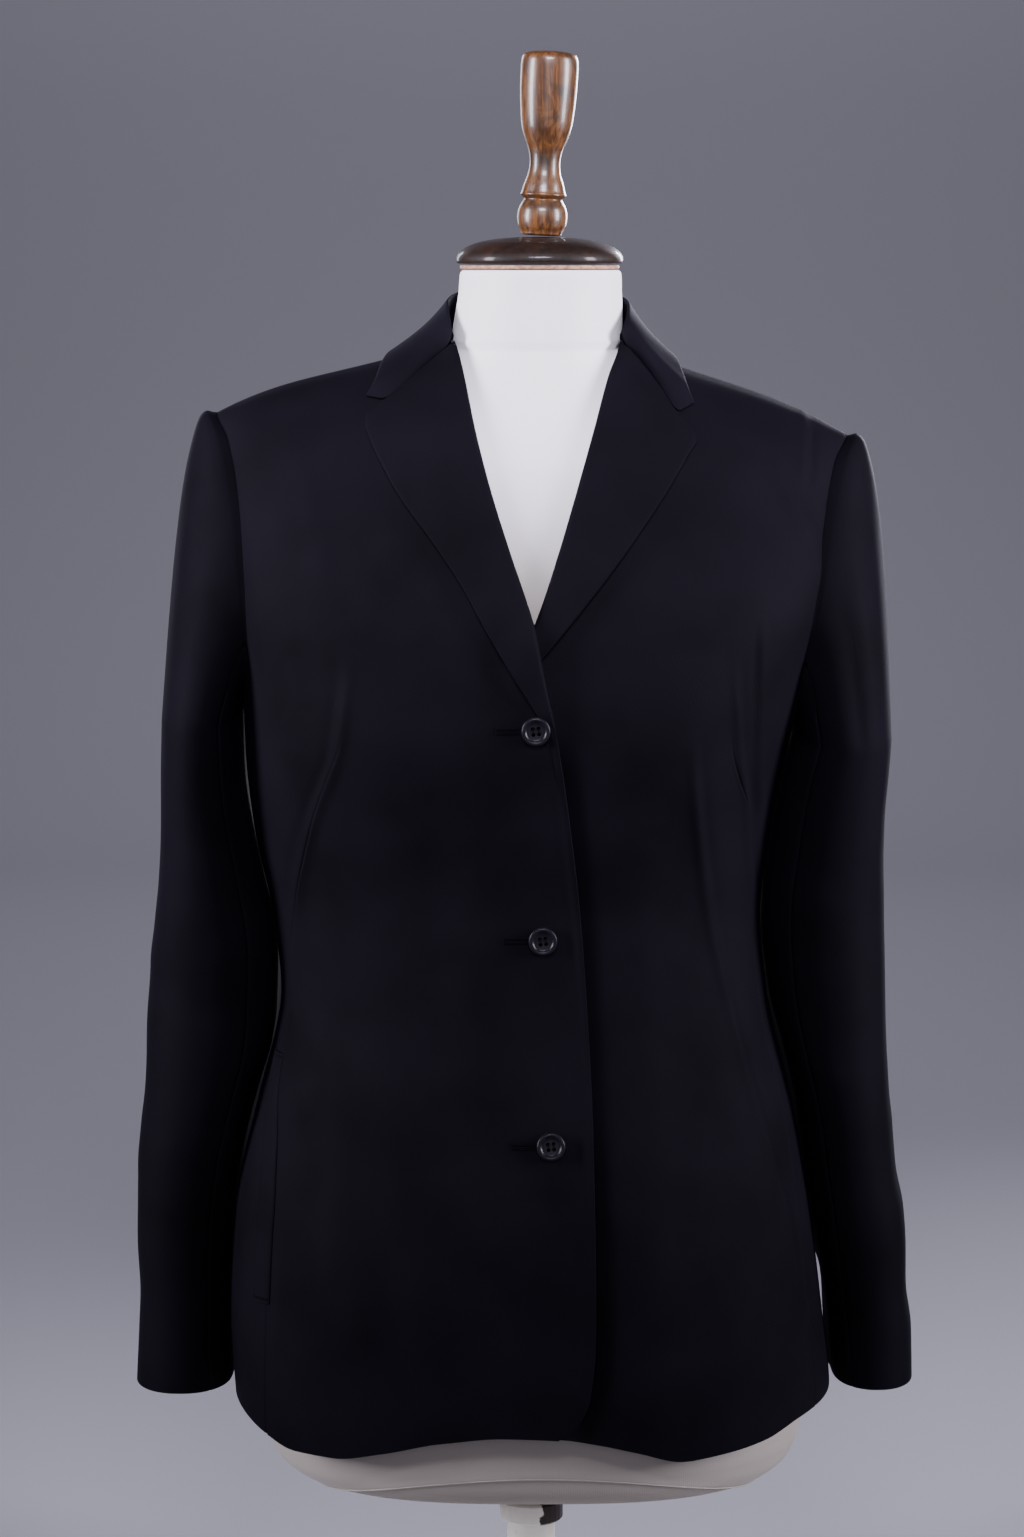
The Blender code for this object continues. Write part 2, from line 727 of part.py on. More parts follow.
def back_grid(side):
    """Outer points of a back panel, from the hem to the neck and shoulder."""
    lower = np.linspace(0, 1, 12)
    tops = []
    for place in range(len(BACK_TOP_SHARES)):
        height = 850.0
        for _ in range(24):
            across = body_point(back_turn(side, place, height), height, "back")[0]
            height = 0.5 * height + 0.5 * float(back_top(across))
        tops.append(height)
    bottom = ARMHOLE_BOTTOM[side]
    side_hem = float(column(HEM, HEM_COLUMNS, "height", side * 190))
    rows = []
    for share in list(lower) + [1 + value for value in UPPER_ROWS]:
        row = []
        for place, top in enumerate(tops):
            round_side = (place / (len(tops) - 1)) ** 3
            hem = BACK_HEM_HEIGHT + (side_hem - BACK_HEM_HEIGHT) * round_side
            if share <= 1:
                height = hem + share * (bottom - hem)
            else:
                height = bottom + (share - 1) * (top - bottom)
            row.append(body_point(back_turn(side, place, height), height, "back"))
        rows.append(row)
    grid = np.array(rows)
    grid[-1, :, 1] = np.maximum(grid[-1, :, 1], SEAM_GAP / 2)
    grid[: len(lower), -1, 1] += SEAM_GAP / 2
    grid[:, 0, 0] = side * SEAM_GAP / 2
    return grid


def build_panels():
    """The four body panels: two fronts and two backs."""
    for side in (RIGHT, LEFT):
        for face, grid in (("front", front_grid(side)), ("back", back_grid(side))):
            outward = grid.copy()
            outward[..., 2] = np.maximum(0, grid[..., 2] - 780) * 3
            normals = grid_normals(grid, outward)
            on_ridge = np.abs(grid[-1, :, 0]) > NECK_RADIUS - 1
            normals[-1, on_ridge, 1] = 0
            at_side = np.abs(grid[:, -1, 1]) < 1
            normals[at_side, -1, 1] = 0
            if face == "back":
                normals[:, 0, 0] = 0
            normals /= np.linalg.norm(normals, axis=-1, keepdims=True)
            inner = grid - CLOTH * normals
            make_shell(f"{face}_{SIDE_NAMES[side]}", grid, inner, suiting)


def fall_point(side, across, height, out, roll_out):
    """A point over a front at a distance out, never further back than the roll."""
    body = front_at(across, height)
    lift = float(lift_of(side, across, height))
    body[1] = min(body[1] - lift, roll_out) - out
    return body


def gorge_place(side, fall):
    """Across and height of the seam between lapel and collar."""
    name = SIDE_NAMES[side]
    return np.array(
        [
            float(column(GORGE, GORGE_COLUMNS, f"{name}_across", fall)),
            float(column(GORGE, GORGE_COLUMNS, f"{name}_height", fall)),
        ]
    )


def gorge_roll(side):
    """How far out the roll stands where the gorge meets it."""
    across, height = gorge_place(side, 0)
    return float(front_at(across, height)[1])


def lapel_line(side, share):
    """Across and height of one row of a lapel, from its roll to its edge."""
    name = SIDE_NAMES[side]
    roll_height = LAPEL_FOOT[side] + (LAPEL_TOP_HEIGHT - LAPEL_FOOT[side]) * share
    roll = np.array([float(edge_across(side, roll_height)), roll_height])
    edge = np.array(
        [
            float(column(LAPEL_EDGE, LAPEL_COLUMNS, f"{name}_across", share)),
            float(column(LAPEL_EDGE, LAPEL_COLUMNS, f"{name}_height", share)),
        ]
    )
    falls = np.array(LAPEL_FALLS)[:, None]
    gorge = np.array([gorge_place(side, fall) for fall in LAPEL_FALLS])
    sag = gorge - gorge[0] - (gorge[-1] - gorge[0]) * falls
    to_gorge = float(smooth_step((share - 0.8) / 0.2))
    line = roll + (edge - roll) * falls + sag * to_gorge
    line[:, 1] -= SEAM_GAP * 0.7 * to_gorge
    return line, to_gorge


def build_lapels():
    """Each lapel rolls over the front's edge and lies open on the front."""
    for side in (RIGHT, LEFT):
        rings = []
        for share in np.linspace(0, 1, 15):
            line, to_gorge = lapel_line(side, share)
            width = float(np.linalg.norm(line[-1] - line[0]))
            roll_out = float(front_at(*line[0])[1])
            roll_out -= float(lift_of(side, *line[0]))
            top = []
            under = []
            for fall, (across, height) in zip(LAPEL_FALLS, line):
                belly = LAPEL_BELLY * math.sin(math.pi * fall**0.8)
                belly *= min(1, width / 60) * (1 - to_gorge)
                under_out = LAPEL_CLEAR + belly
                under_out += (GORGE_CLEAR - LAPEL_CLEAR) * to_gorge
                top_out = under_out + LAPEL_CLOTH
                if fall == 0:
                    top_out = 1.5
                if fall == LAPEL_FALLS[1]:
                    top_out = 0.86 * top_out + 0.4
                top.append(fall_point(side, across, height, top_out, roll_out))
                under.append(fall_point(side, across, height, under_out, roll_out))
            # The hook turns round the front's edge, in to the level of its inner face
            hooked = float(line[0][1] > HOOK_START[side])
            reach = min(3.0, 0.3 * width)
            run = (line[-1] - line[0]) / width
            depth = hooked * CLOTH * 0.9 - (1 - hooked) * LAPEL_CLEAR * 0.99
            deep = fall_point(side, *(line[0] + run * reach * 0.98), -depth, roll_out)
            level = fall_point(side, *(line[0] + run * reach), LAPEL_CLEAR, roll_out)
            low = fall_point(side, *(line[0] + run * reach * 0.4), -depth, roll_out)
            nose_depth = 0.4 if hooked else -LAPEL_CLEAR - 0.25
            nose = fall_point(side, *line[0], -nose_depth, roll_out)
            ring = top + list(reversed(under[2:])) + [level, deep, low, nose]
            rings.append(np.array(ring))
        make_loft(f"lapel_{SIDE_NAMES[side]}", rings, suiting_lapel, strip=(2, 13))


def collar_key(side, station, name):
    """A point of the collar's neck seam, roll or leaf edge at a station."""
    sizes = [
        float(column(COLLAR_HALF[side], COLLAR_COLUMNS, f"{name}_{size}", station))
        for size in ("turn", "radius", "height")
    ]
    turn = math.radians(sizes[0])
    across = side * sizes[1] * math.cos(turn)
    return np.array([across, sizes[1] * math.sin(turn), sizes[2]])


def collar_leaf(side, station, at_gorge):
    """Outer points of the collar's leaf, and the same points as they lie on the front."""
    roll = collar_key(side, station, "roll")
    edge = collar_key(side, station, "edge")
    leaf = []
    lain = []
    for fall in LAPEL_FALLS[1:]:
        point = roll + (edge - roll) * fall
        out = point - np.array([0, 0, 800])
        out /= np.linalg.norm(out)
        point = point + out * COLLAR_BELLY * math.sin(math.pi * fall) * (1 - at_gorge)
        if at_gorge > 0:
            across, height = gorge_place(side, min(fall, NOTCH_AT))
            height += SEAM_GAP * 0.7
            if fall > NOTCH_AT:
                far = (fall - NOTCH_AT) / (1 - NOTCH_AT)
                across += (edge[0] - across) * far
                height += (edge[2] - height) * far
            lying = fall_point(
                side, across, height, GORGE_CLEAR + COLLAR_CLOTH, gorge_roll(side)
            )
            point = point * (1 - at_gorge) + lying * at_gorge
        leaf.append(point)
        lain.append(point + np.array([0, COLLAR_CLOTH, 0]))
    return np.array(leaf), np.array(lain)


def build_collar():
    """A folded band: stand up from the neck seam, roll, and leaf down to the shoulders."""
    rings = []
    run = [(RIGHT, station) for station in COLLAR_STATIONS] + [(RIGHT, 0.5)]
    run += [(LEFT, station) for station in reversed(COLLAR_STATIONS)]
    for side, station in run:
        seam = collar_key(side, station, "seam")
        roll = collar_key(side, station, "roll")
        at_gorge = 1 - float(smooth_step(station / 0.08))
        leaf, lain = collar_leaf(side, station, at_gorge)
        tangent = leaf[-1] - leaf[0]
        tangent /= np.linalg.norm(tangent)
        along = np.array([1.0, 0.0, 0.0])
        if station < 0.5:
            along = collar_key(side, station + 0.02, "edge")
            along = along - collar_key(side, max(0, station - 0.02), "edge")
        normal = np.cross(along, tangent)
        normal /= np.linalg.norm(normal)
        if normal @ (leaf[3] - np.array([0, 20, 780])) < 0:
            normal = -normal
        flat = float(smooth_step(at_gorge * 1.5 - 0.4))
        under = (leaf - COLLAR_CLOTH * normal) * (1 - flat) + lain * flat
        inward = np.array([-seam[0], -seam[1], 0.0])
        inward /= np.linalg.norm(inward)
        inner_low = seam + inward * CLOTH
        inner_top = roll - normal * COLLAR_CLOTH * 0.2 + inward * 1.6
        inner_middle = 0.5 * (inner_low + inner_top) + inward * 0.2
        crown = roll + normal * 0.9 + inward
        fold = under[0] - tangent * 0.4
        ring = [inner_low, inner_middle, inner_top, crown] + list(leaf)
        ring += list(reversed(under[1:])) + [fold, 0.5 * (seam + fold), seam]
        rings.append(np.array(ring))
    make_loft("collar", rings, suiting_collar, strip=(4, 17))


def armhole_ring(side):
    """Closed curve of the armhole seam: tip, down the front, round and up the back."""
    tip = float(ridge_height(side * ARMHOLE_TIP[side]))
    bottom = ARMHOLE_BOTTOM[side]
    curve = []
    directions = []
    for face in ("front", "back"):
        shares = np.linspace(1, 0, 160)
        heights = bottom + (tip - bottom) * shares
        points = body_point(armhole_turn(side, heights, face), heights, face)
        nearby = body_point(
            armhole_turn(side, heights, face) + side * 0.02, heights, face
        )
        points[:, 1] += np.where(face == "front", -1, 1) * SEAM_GAP / 2
        run = nearby - points
        run[:, 1] += np.where(face == "front", -1, 1) * SEAM_GAP / 2
        run /= np.linalg.norm(run, axis=1, keepdims=True)
        low = (1 - smooth_step(shares / 0.3))[:, None]
        run = run * (1 - low) + np.array([side, 0.0, 0.0]) * low
        run /= np.linalg.norm(run, axis=1, keepdims=True)
        length = np.concatenate(
            [[0], np.cumsum(np.linalg.norm(np.diff(points, axis=0), axis=1))]
        )
        wanted = np.linspace(0, length[-1], SLEEVE_AROUND // 2 + 1)
        curve.append(
            np.stack([np.interp(wanted, length, points[:, k]) for k in range(3)], 1)
        )
        directions.append(
            np.stack([np.interp(wanted, length, run[:, k]) for k in range(3)], 1)
        )
    ring = np.concatenate([curve[0], curve[1][1:-1][::-1]])
    outs = np.concatenate([directions[0], directions[1][1:-1][::-1]])
    ring[0, 1] = 0
    ring[SLEEVE_AROUND // 2, 1] = 0
    return ring, outs


def sleeve_section(side, height):
    """Closed level section of a sleeve: outer point, front, inner and back."""
    sizes = {
        name: float(column(SLEEVE[side], SLEEVE_COLUMNS, name, height))
        for name in SLEEVE_COLUMNS[1:]
    }
    turns = np.arange(SLEEVE_AROUND) * 2 * math.pi / SLEEVE_AROUND
    power = 2 / SLEEVE_SQUARENESS
    wide = (sizes["outer"] - sizes["inner"]) / 2
    deep = (sizes["back"] - sizes["front"]) / 2
    rise = np.zeros(SLEEVE_AROUND)
    for entry in SLEEVE_FOLDS[side]:
        fold = dict(zip(FOLD_COLUMNS, entry))
        off = (np.degrees(turns) - fold["turn"] + 180) % 360 - 180
        level = (height - fold["height"]) / fold["tall"]
        level = level + off * 0.006
        rise += fold["rise"] * np.exp(-(level**2) - (off / fold["wide"]) ** 2)
    cosine = np.sign(np.cos(turns)) * np.abs(np.cos(turns)) ** power
    sine = np.sign(np.sin(turns)) * np.abs(np.sin(turns)) ** power
    across = (sizes["outer"] + sizes["inner"]) / 2 + (wide + rise) * cosine
    tuck = (np.degrees(turns) - SLEEVE_TUCK_TURN) / SLEEVE_TUCK_SPREAD
    across -= sizes["tuck"] * np.exp(-(tuck**2))
    out = (sizes["front"] + sizes["back"]) / 2 - (deep + rise) * sine
    return np.stack([side * across, out, np.full(SLEEVE_AROUND, height)], axis=1)


def sleeve_grid(side):
    """Rings of a sleeve from the armhole over the head and down to the cuff."""
    seam, outs = armhole_ring(side)
    top = SLEEVE[side][0][0]
    foot = SLEEVE[side][-1][0]
    biceps = sleeve_section(side, top)
    turns = np.arange(SLEEVE_AROUND) * 2 * math.pi / SLEEVE_AROUND
    head = (0.5 + 0.5 * np.cos(turns))[:, None]
    rings = [seam + outs * SEAM_GAP * 3]
    for ring in range(1, SLEEVE_CAP_RINGS):
        share = ring / SLEEVE_CAP_RINGS
        down = share ** (1.15 + 0.7 * head)
        out = share ** (0.95 - SLEEVE_HEAD_REACH[side] * head)
        point = seam.copy()
        point[:, :1] = seam[:, :1] + (biceps[:, :1] - seam[:, :1]) * out
        point[:, 1:2] = seam[:, 1:2] + (biceps[:, 1:2] - seam[:, 1:2]) * share**0.8
        point[:, 2:] = seam[:, 2:] + (biceps[:, 2:] - seam[:, 2:]) * down
        puff = SLEEVE_HEAD_PUFF * math.exp(-(((share - 0.1) / 0.12) ** 2))
        swell = SLEEVE_HEAD_SWELL[side] * math.sin(math.pi * share)
        point[:, :1] += side * (0.5 * puff + swell) * head**2
        point[:, 2:] += puff * head**3
        rings.append(point)
    for height in np.linspace(top, foot, SLEEVE_TUBE_RINGS + 1):
        rings.append(sleeve_section(side, height))
    return np.array(rings)


def build_sleeves():
    """Two piece sleeves, split along the front and back seams."""
    for side in (RIGHT, LEFT):
        grid = sleeve_grid(side)
        centre = grid.mean(axis=1, keepdims=True)
        wrapped = np.concatenate([grid[:, -2:], grid, grid[:, :2]], axis=1)
        outward = wrapped - centre
        normals = grid_normals(wrapped, outward)[:, 2:-2]
        inner = grid - CLOTH * normals
        upper = list(range(SLEEVE_SEAM_BACK, SLEEVE_AROUND)) + list(
            range(0, SLEEVE_SEAM_FRONT + 1)
        )
        under = list(range(SLEEVE_SEAM_FRONT, SLEEVE_SEAM_BACK + 1))
        for name, places in (("upper", upper), ("under", under)):
            outside = grid[:, places].copy()
            inside = inner[:, places].copy()
            for layer in (outside, inside):
                for end, beside in ((0, 1), (-1, -2)):
                    step = layer[:, beside] - layer[:, end]
                    step /= np.linalg.norm(step, axis=1, keepdims=True)
                    layer[:, end] += step * SEAM_GAP * 0.6
            make_shell(
                f"sleeve_{name}_{SIDE_NAMES[side]}", outside, inside, suiting_sleeve
            )


def build_welt():
    """A welt lies over the right side front seam, moved out from the front's own points."""
    outer = []
    for height in np.linspace(WELT_FOOT, WELT_TOP, 9):
        seam = -math.radians(float(column(SEAM, SEAM_COLUMNS, "right", height)))
        here = body_point(seam, height, "front")
        beside = body_point(seam - math.radians(1), height, "front")
        degrees = WELT_WIDTH / np.linalg.norm((beside - here)[:2])
        row = []
        for turn in seam - np.radians(np.linspace(-1.5, degrees - 1.5, 5)):
            point = body_point(turn, height, "front")
            point[1] -= float(lift_of(RIGHT, point[0], height))
            row.append(point)
        outer.append(row)
    outer = np.array(outer)
    outward = outer.copy()
    outward[..., 2] = 0
    normals = grid_normals(outer, outward)
    inner = outer + normals * WELT_CLEAR
    make_shell("welt_right", inner + normals * WELT_CLOTH, inner, suiting_welt)


def build_buttons():
    """Four hole buttons with a raised rim, on the right front's centre line."""
    for name, across, height in BUTTONS:
        seat = front_at(across, height)
        seat[1] -= float(lift_of(RIGHT, across, height))
        up = front_at(across, height + 6)
        up[1] -= float(lift_of(RIGHT, across, height + 6))
        down = front_at(across, height - 6)
        down[1] -= float(lift_of(RIGHT, across, height - 6))
        right = front_at(across - 6, height)
        left = front_at(across + 6, height)
        face = np.cross(left - right, up - down)
        face /= np.linalg.norm(face)
        if face[1] > 0:
            face = -face
        rim = BUTTON_RADIUS
        dish = BUTTON_DISH
        profile = (
            (0, 0), (rim - 1.2, 0), (rim, 1.4), (rim - 0.3, 2.9), (rim - 1.2, BUTTON_THICK),
            (dish + 0.5, BUTTON_THICK - 0.1), (dish - 0.5, BUTTON_THICK - BUTTON_DISH_DEPTH),
            (0, BUTTON_THICK - BUTTON_DISH_DEPTH),
        )
        body = turned(name, profile, button_stock, steps=20)
        for place in range(4):
            turn = math.pi / 4 + place * math.pi / 2
            bpy.ops.mesh.primitive_cylinder_add(
                vertices=6,
                radius=BUTTON_HOLE_RADIUS * MM,
                depth=8 * MM,
                location=(
                    BUTTON_HOLE_PITCH * math.cos(turn) * MM,
                    BUTTON_HOLE_PITCH * math.sin(turn) * MM,
                    1.5 * MM,
                ),
            )
            drill = bpy.context.active_object
            drill.name = f"cut_{name}_{place}"
            hide_cutter(drill)
            cut = body.modifiers.new(f"hole_{place}", "BOOLEAN")
            cut.operation = "DIFFERENCE"
            cut.solver = "EXACT"
            cut.object = drill
            drill.parent = body
        place = Vector(seat + face * (BUTTON_CLEAR + 0.15)) * MM
        turn = Vector((0, 0, 1)).rotation_difference(Vector(face))
        body.matrix_world = Matrix.Translation(place) @ turn.to_matrix().to_4x4()


def hide_cutter(cutter):
    """Keep a cutting shape out of the part."""
    for owner in list(cutter.users_collection):
        owner.objects.unlink(cutter)
    cutters.objects.link(cutter)
    cutter.hide_render = True
    cutter.display_type = "WIRE"


def turned(name, profile, material, centre=(0, 0), steps=TURNED_STEPS):
    """A lathe shape: its profile goes round the vertical axis."""
    mesh = bpy.data.meshes.new(name)
    points = [(radius * MM, 0, height * MM) for radius, height in profile]
    edges = [(index, index + 1) for index in range(len(points) - 1)]
    mesh.from_pydata(points, edges, [])
    thing = bpy.data.objects.new(name, mesh)
    collection.objects.link(thing)
    screw = thing.modifiers.new("turn", "SCREW")
    screw.axis = "Z"
    screw.steps = steps
    screw.render_steps = steps
    screw.use_merge_vertices = True
    screw.merge_threshold = 0.00001
    screw.use_normal_calculate = True
    mesh.materials.append(material)
    thing.location = (centre[0] * MM, centre[1] * MM, 0)
    bpy.context.view_layer.objects.active = thing
    bpy.ops.object.select_all(action="DESELECT")
    thing.select_set(True)
    bpy.ops.object.modifier_apply(modifier=screw.name)
    corners = np.array([tuple(vertex.co) for vertex in thing.data.vertices])
    sides = [tuple(face.vertices) for face in thing.data.polygons]
    if signed_volume(corners, sides) < 0:
        thing.data.flip_normals()
    thing.data.shade_smooth()
    thing.data.set_sharp_from_angle(angle=math.radians(50))
    return thing


def form_reach(side, height):
    """How far a level section of the form reaches to one side."""
    widest = float(half_width(side, height))
    over = height + CLOTH + 0.9
    if over < float(ridge_height(side * widest)):
        return widest
    places = np.linspace(RIDGE_START[side], RIDGE_END, 200)
    return float(np.interp(-over, -ridge_height(side * places), places))


def form_ring(height):
    """Closed level section of the form under the cloth, at even angles round it."""
    ease = {
        name: float(column(FORM_EASE, FORM_COLUMNS, name, height))
        for name in FORM_COLUMNS[1:]
    }
    raised = height + (CLOTH + 0.9) * float(smooth_step((height - 760) / 40))
    squareness = float(column(TORSO, TORSO_COLUMNS, "squareness", height))
    outline = []
    for turn in np.linspace(0, 2 * math.pi, 481)[:-1]:
        side = RIGHT if math.sin(turn) < 0 else LEFT
        face = "front" if math.cos(turn) > 0 else "back"
        reach = form_reach(side, height)
        across = side * reach * abs(math.sin(turn)) ** (2 / squareness)
        angle = turn_at(across, raised)
        out = float(body_depth(across, raised, face, FORM_NECK_RADIUS))
        out *= abs(math.cos(angle)) ** (2 / squareness)
        slim = (reach - CLOTH - ease["side"]) / reach
        out = max(0.0, out - (CLOTH + ease[face]) * min(1.0, out / 14))
        outline.append((across * slim, out * (1 if face == "back" else -1)))
    outline = np.array(outline)
    angles = np.unwrap(np.arctan2(outline[:, 0], -outline[:, 1]))
    wanted = np.arange(FORM_AROUND) * 2 * math.pi / FORM_AROUND
    angles = np.concatenate([angles, [angles[0] + 2 * math.pi]])
    outline = np.concatenate([outline, outline[:1]])
    ring = [np.interp(wanted, angles, outline[:, axis]) for axis in (0, 1)]
    return np.stack([ring[0], ring[1], np.full(FORM_AROUND, height)], axis=1)


def build_form():
    """The limbless form: torso, shoulders and neck as one smooth closed body."""
    rings = []
    for height, inset in FORM_ROUNDING:
        ring = form_ring(max(height, FORM_FOOT))
        reach = np.linalg.norm(ring[:, :2], axis=1, keepdims=True)
        ring[:, :2] *= (reach - inset) / reach
        rings.append(ring)
    for height in FORM_LEVELS:
        rings.append(form_ring(height))
    turns = np.arange(FORM_AROUND) * 2 * math.pi / FORM_AROUND
    for height, radius, lean in NECK:
        rings.append(
            np.stack(
                [
                    lean + radius * np.sin(turns),
                    NECK_CENTRE[1] - radius * np.cos(turns),
                    np.full(FORM_AROUND, height),
                ],
                axis=1,
            )
        )
    make_loft("form_torso", rings, jersey, sharp_angle=40)


def build_stand():
    """Neck cap, finial, pole and foot."""
    turned("cap_disc", DISC_PROFILE, pale_wood, NECK_CENTRE)
    turned("neck_cap", CAP_PROFILE, dark_wood, NECK_CENTRE)
    finial = turned("finial", FINIAL_PROFILE, warm_wood, steps=24)
    finial.matrix_world = Matrix.Translation(
        Vector((FINIAL_ACROSS, NECK_CENTRE[1], FINIAL_SEAT)) * MM
    ) @ Matrix.Rotation(FINIAL_LEAN, 4, "Y")
    turned("pole_flange", FLANGE_PROFILE, dark_metal, (POLE_ACROSS, 0))
    turned("pole_clamp", CLAMP_PROFILE, dark_metal, (POLE_ACROSS, 0))
    turned("pole", POLE_PROFILE, painted_wood, (POLE_ACROSS, 0))
    turned("base", BASE_PROFILE, painted_wood_base, (0, 0), steps=48)


for leftover in list(bpy.data.objects):
    bpy.data.objects.remove(leftover)

collection = bpy.data.collections.new("single_breasted_blazer")
bpy.context.scene.collection.children.link(collection)
cutters = bpy.data.collections.new("cutters")
bpy.context.scene.collection.children.link(cutters)
cutters.hide_render = True

suiting = make_material("navy_suiting", (0.0072, 0.0072, 0.0128), 0.72)
suiting_lapel = make_material("navy_suiting_lapel", (0.0080, 0.0080, 0.0142), 0.70)
suiting_collar = make_material("navy_suiting_collar", (0.0078, 0.0078, 0.0138), 0.70)
suiting_sleeve = make_material("navy_suiting_sleeve", (0.0070, 0.0070, 0.0124), 0.72)
suiting_welt = make_material("navy_suiting_welt", (0.0076, 0.0076, 0.0134), 0.72)
button_stock = make_material("button_polyester", (0.0060, 0.0060, 0.0095), 0.25)
jersey = make_material("form_jersey", (0.74, 0.73, 0.77), 0.85)
pale_wood = make_material("cap_plywood", (0.30, 0.18, 0.10), 0.55)
dark_wood = make_material("cap_stained_wood", (0.035, 0.016, 0.010), 0.35)
warm_wood = make_material("finial_varnished_wood", (0.12, 0.040, 0.018), 0.22)
dark_metal = make_material("flange_blackened_steel", (0.03, 0.028, 0.028), 0.45, 0.9)
painted_wood = make_material("pole_painted_wood", (0.72, 0.70, 0.66), 0.5)
painted_wood_base = make_material("base_painted_wood", (0.72, 0.70, 0.66), 0.5)

build_panels()
build_lapels()
build_collar()
build_sleeves()
build_welt()
build_buttons()
build_form()
build_stand()
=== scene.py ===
"""Looks of a single breasted blazer buttoned over a limbless dress form.

Sizes are in millimetres and become metres where a mesh is made. The wearer faces -Y, the
wearer's left is +X, and the stand's flat foot is at height 0.
"""

from __future__ import annotations

import json
import logging
import math
from dataclasses import dataclass
from enum import Enum
from functools import cache
from typing import Any

import bpy
import numpy as np
from mathutils import Matrix, Vector

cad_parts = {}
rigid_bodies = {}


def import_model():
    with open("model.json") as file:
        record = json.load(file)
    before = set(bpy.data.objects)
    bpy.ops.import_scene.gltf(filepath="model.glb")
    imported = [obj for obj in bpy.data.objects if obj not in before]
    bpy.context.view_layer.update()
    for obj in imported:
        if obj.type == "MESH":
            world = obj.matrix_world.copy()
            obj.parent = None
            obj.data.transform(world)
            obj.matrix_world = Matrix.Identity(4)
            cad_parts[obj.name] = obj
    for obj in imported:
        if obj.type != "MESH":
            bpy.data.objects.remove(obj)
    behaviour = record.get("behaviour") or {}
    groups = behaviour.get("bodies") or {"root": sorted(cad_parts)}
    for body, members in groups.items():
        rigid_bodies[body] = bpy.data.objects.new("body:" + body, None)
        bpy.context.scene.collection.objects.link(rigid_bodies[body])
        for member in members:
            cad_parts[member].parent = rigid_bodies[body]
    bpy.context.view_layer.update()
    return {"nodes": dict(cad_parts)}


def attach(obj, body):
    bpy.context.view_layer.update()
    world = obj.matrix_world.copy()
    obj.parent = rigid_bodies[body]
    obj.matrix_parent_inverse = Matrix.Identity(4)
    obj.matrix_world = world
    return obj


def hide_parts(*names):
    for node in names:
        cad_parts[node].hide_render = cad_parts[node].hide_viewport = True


LOG = logging.getLogger("blazer")
MM = 0.001
# Edges sharper than this are shaded as edges
SHARP_DEGREES = 62
# Radius left open at a turned piece's axis, so that its end closes cleanly
AXIS_GAP = 0.02
# How often a section's corners are cut to round them
ROUNDS = 2
# How far a cut edge of cloth bulges, as a share of the cloth's thickness
EDGE_BULGE = 0.22
# Faces round a thread, and a direction that no stitch runs in
THREAD_SIDES = 6
OFF_STITCH = (0.13, 0.31, 0.94)

norm = np.linalg.norm
Points = np.ndarray
Pair = tuple[float, float]
Triple = tuple[float, float, float]
Rows = tuple[tuple[float, ...], ...]
Faces = list[tuple[int, ...]]
Thing = bpy.types.Object
Material = bpy.types.Material
Tree = bpy.types.NodeTree
Socket = bpy.types.NodeSocket


class Way(Enum):
    """A way from the wearer's middle, with its sign along an axis."""

    @property
    def word(self) -> str:
        """The name as nodes and tables have it."""
        return self.name.lower()


class Side(Way):
    """A side of the wearer, with its sign along X."""

    RIGHT = -1
    LEFT = 1

    def of(self, pair: tuple[Any, Any]) -> Any:
        """This side's value of a right and a left one."""
        return pair[0] if self is Side.RIGHT else pair[1]


class Face(Way):
    """The front or the back of the body, with its sign along Y."""

    FRONT = -1
    BACK = 1


# ---- numbers


def ease(share: Any) -> Any:
    """Ease from 0 to 1 with level ends."""
    share = np.clip(share, 0, 1)
    return share * share * (3 - 2 * share)


def curve(at: Any, known_at: list[float], known: list[float]) -> Points:
    """Read a smooth curve through known values that never overshoots them.

    Args:
        at: Places to read.
        known_at: Places of the known values, rising.
        known: The known values.

    Returns:
        The values at the places asked for.
    """
    xs = np.asarray(known_at, float)
    ys = np.asarray(known, float)
    at = np.clip(np.asarray(at, float), xs[0], xs[-1])
    steps = np.diff(xs)
    rises = np.diff(ys) / steps
    slopes = np.zeros_like(ys)
    slopes[0], slopes[-1] = rises[0], rises[-1]
    same_way = rises[:-1] * rises[1:] > 0
    before = 2 * steps[1:] + steps[:-1]
    after = steps[1:] + 2 * steps[:-1]
    low = np.where(same_way, rises[:-1], 1.0)
    high = np.where(same_way, rises[1:], 1.0)
    slopes[1:-1] = np.where(same_way, (before + after) / (before / low + after / high), 0.0)
    row = np.clip(np.searchsorted(xs, at, side="right") - 1, 0, len(steps) - 1)
    step = steps[row]
    share = (at - xs[row]) / step
    return (
        (1 + 2 * share) * (1 - share) ** 2 * ys[row]
        + share * (1 - share) ** 2 * step * slopes[row]
        + share * share * (3 - 2 * share) * ys[row + 1]
        + share * share * (share - 1) * step * slopes[row + 1]
    )


@dataclass(frozen=True)
class Table:
    """Rows of sizes under named columns, read as smooth curves down the first column."""

    columns: tuple[str, ...]
    rows: Rows

    def read(self, name: str, at: Any) -> Points:
        """Read a column at any places of the first one."""
        rows, place = sorted(self.rows), self.columns.index(name)
        return curve(at, [row[0] for row in rows], [row[place] for row in rows])


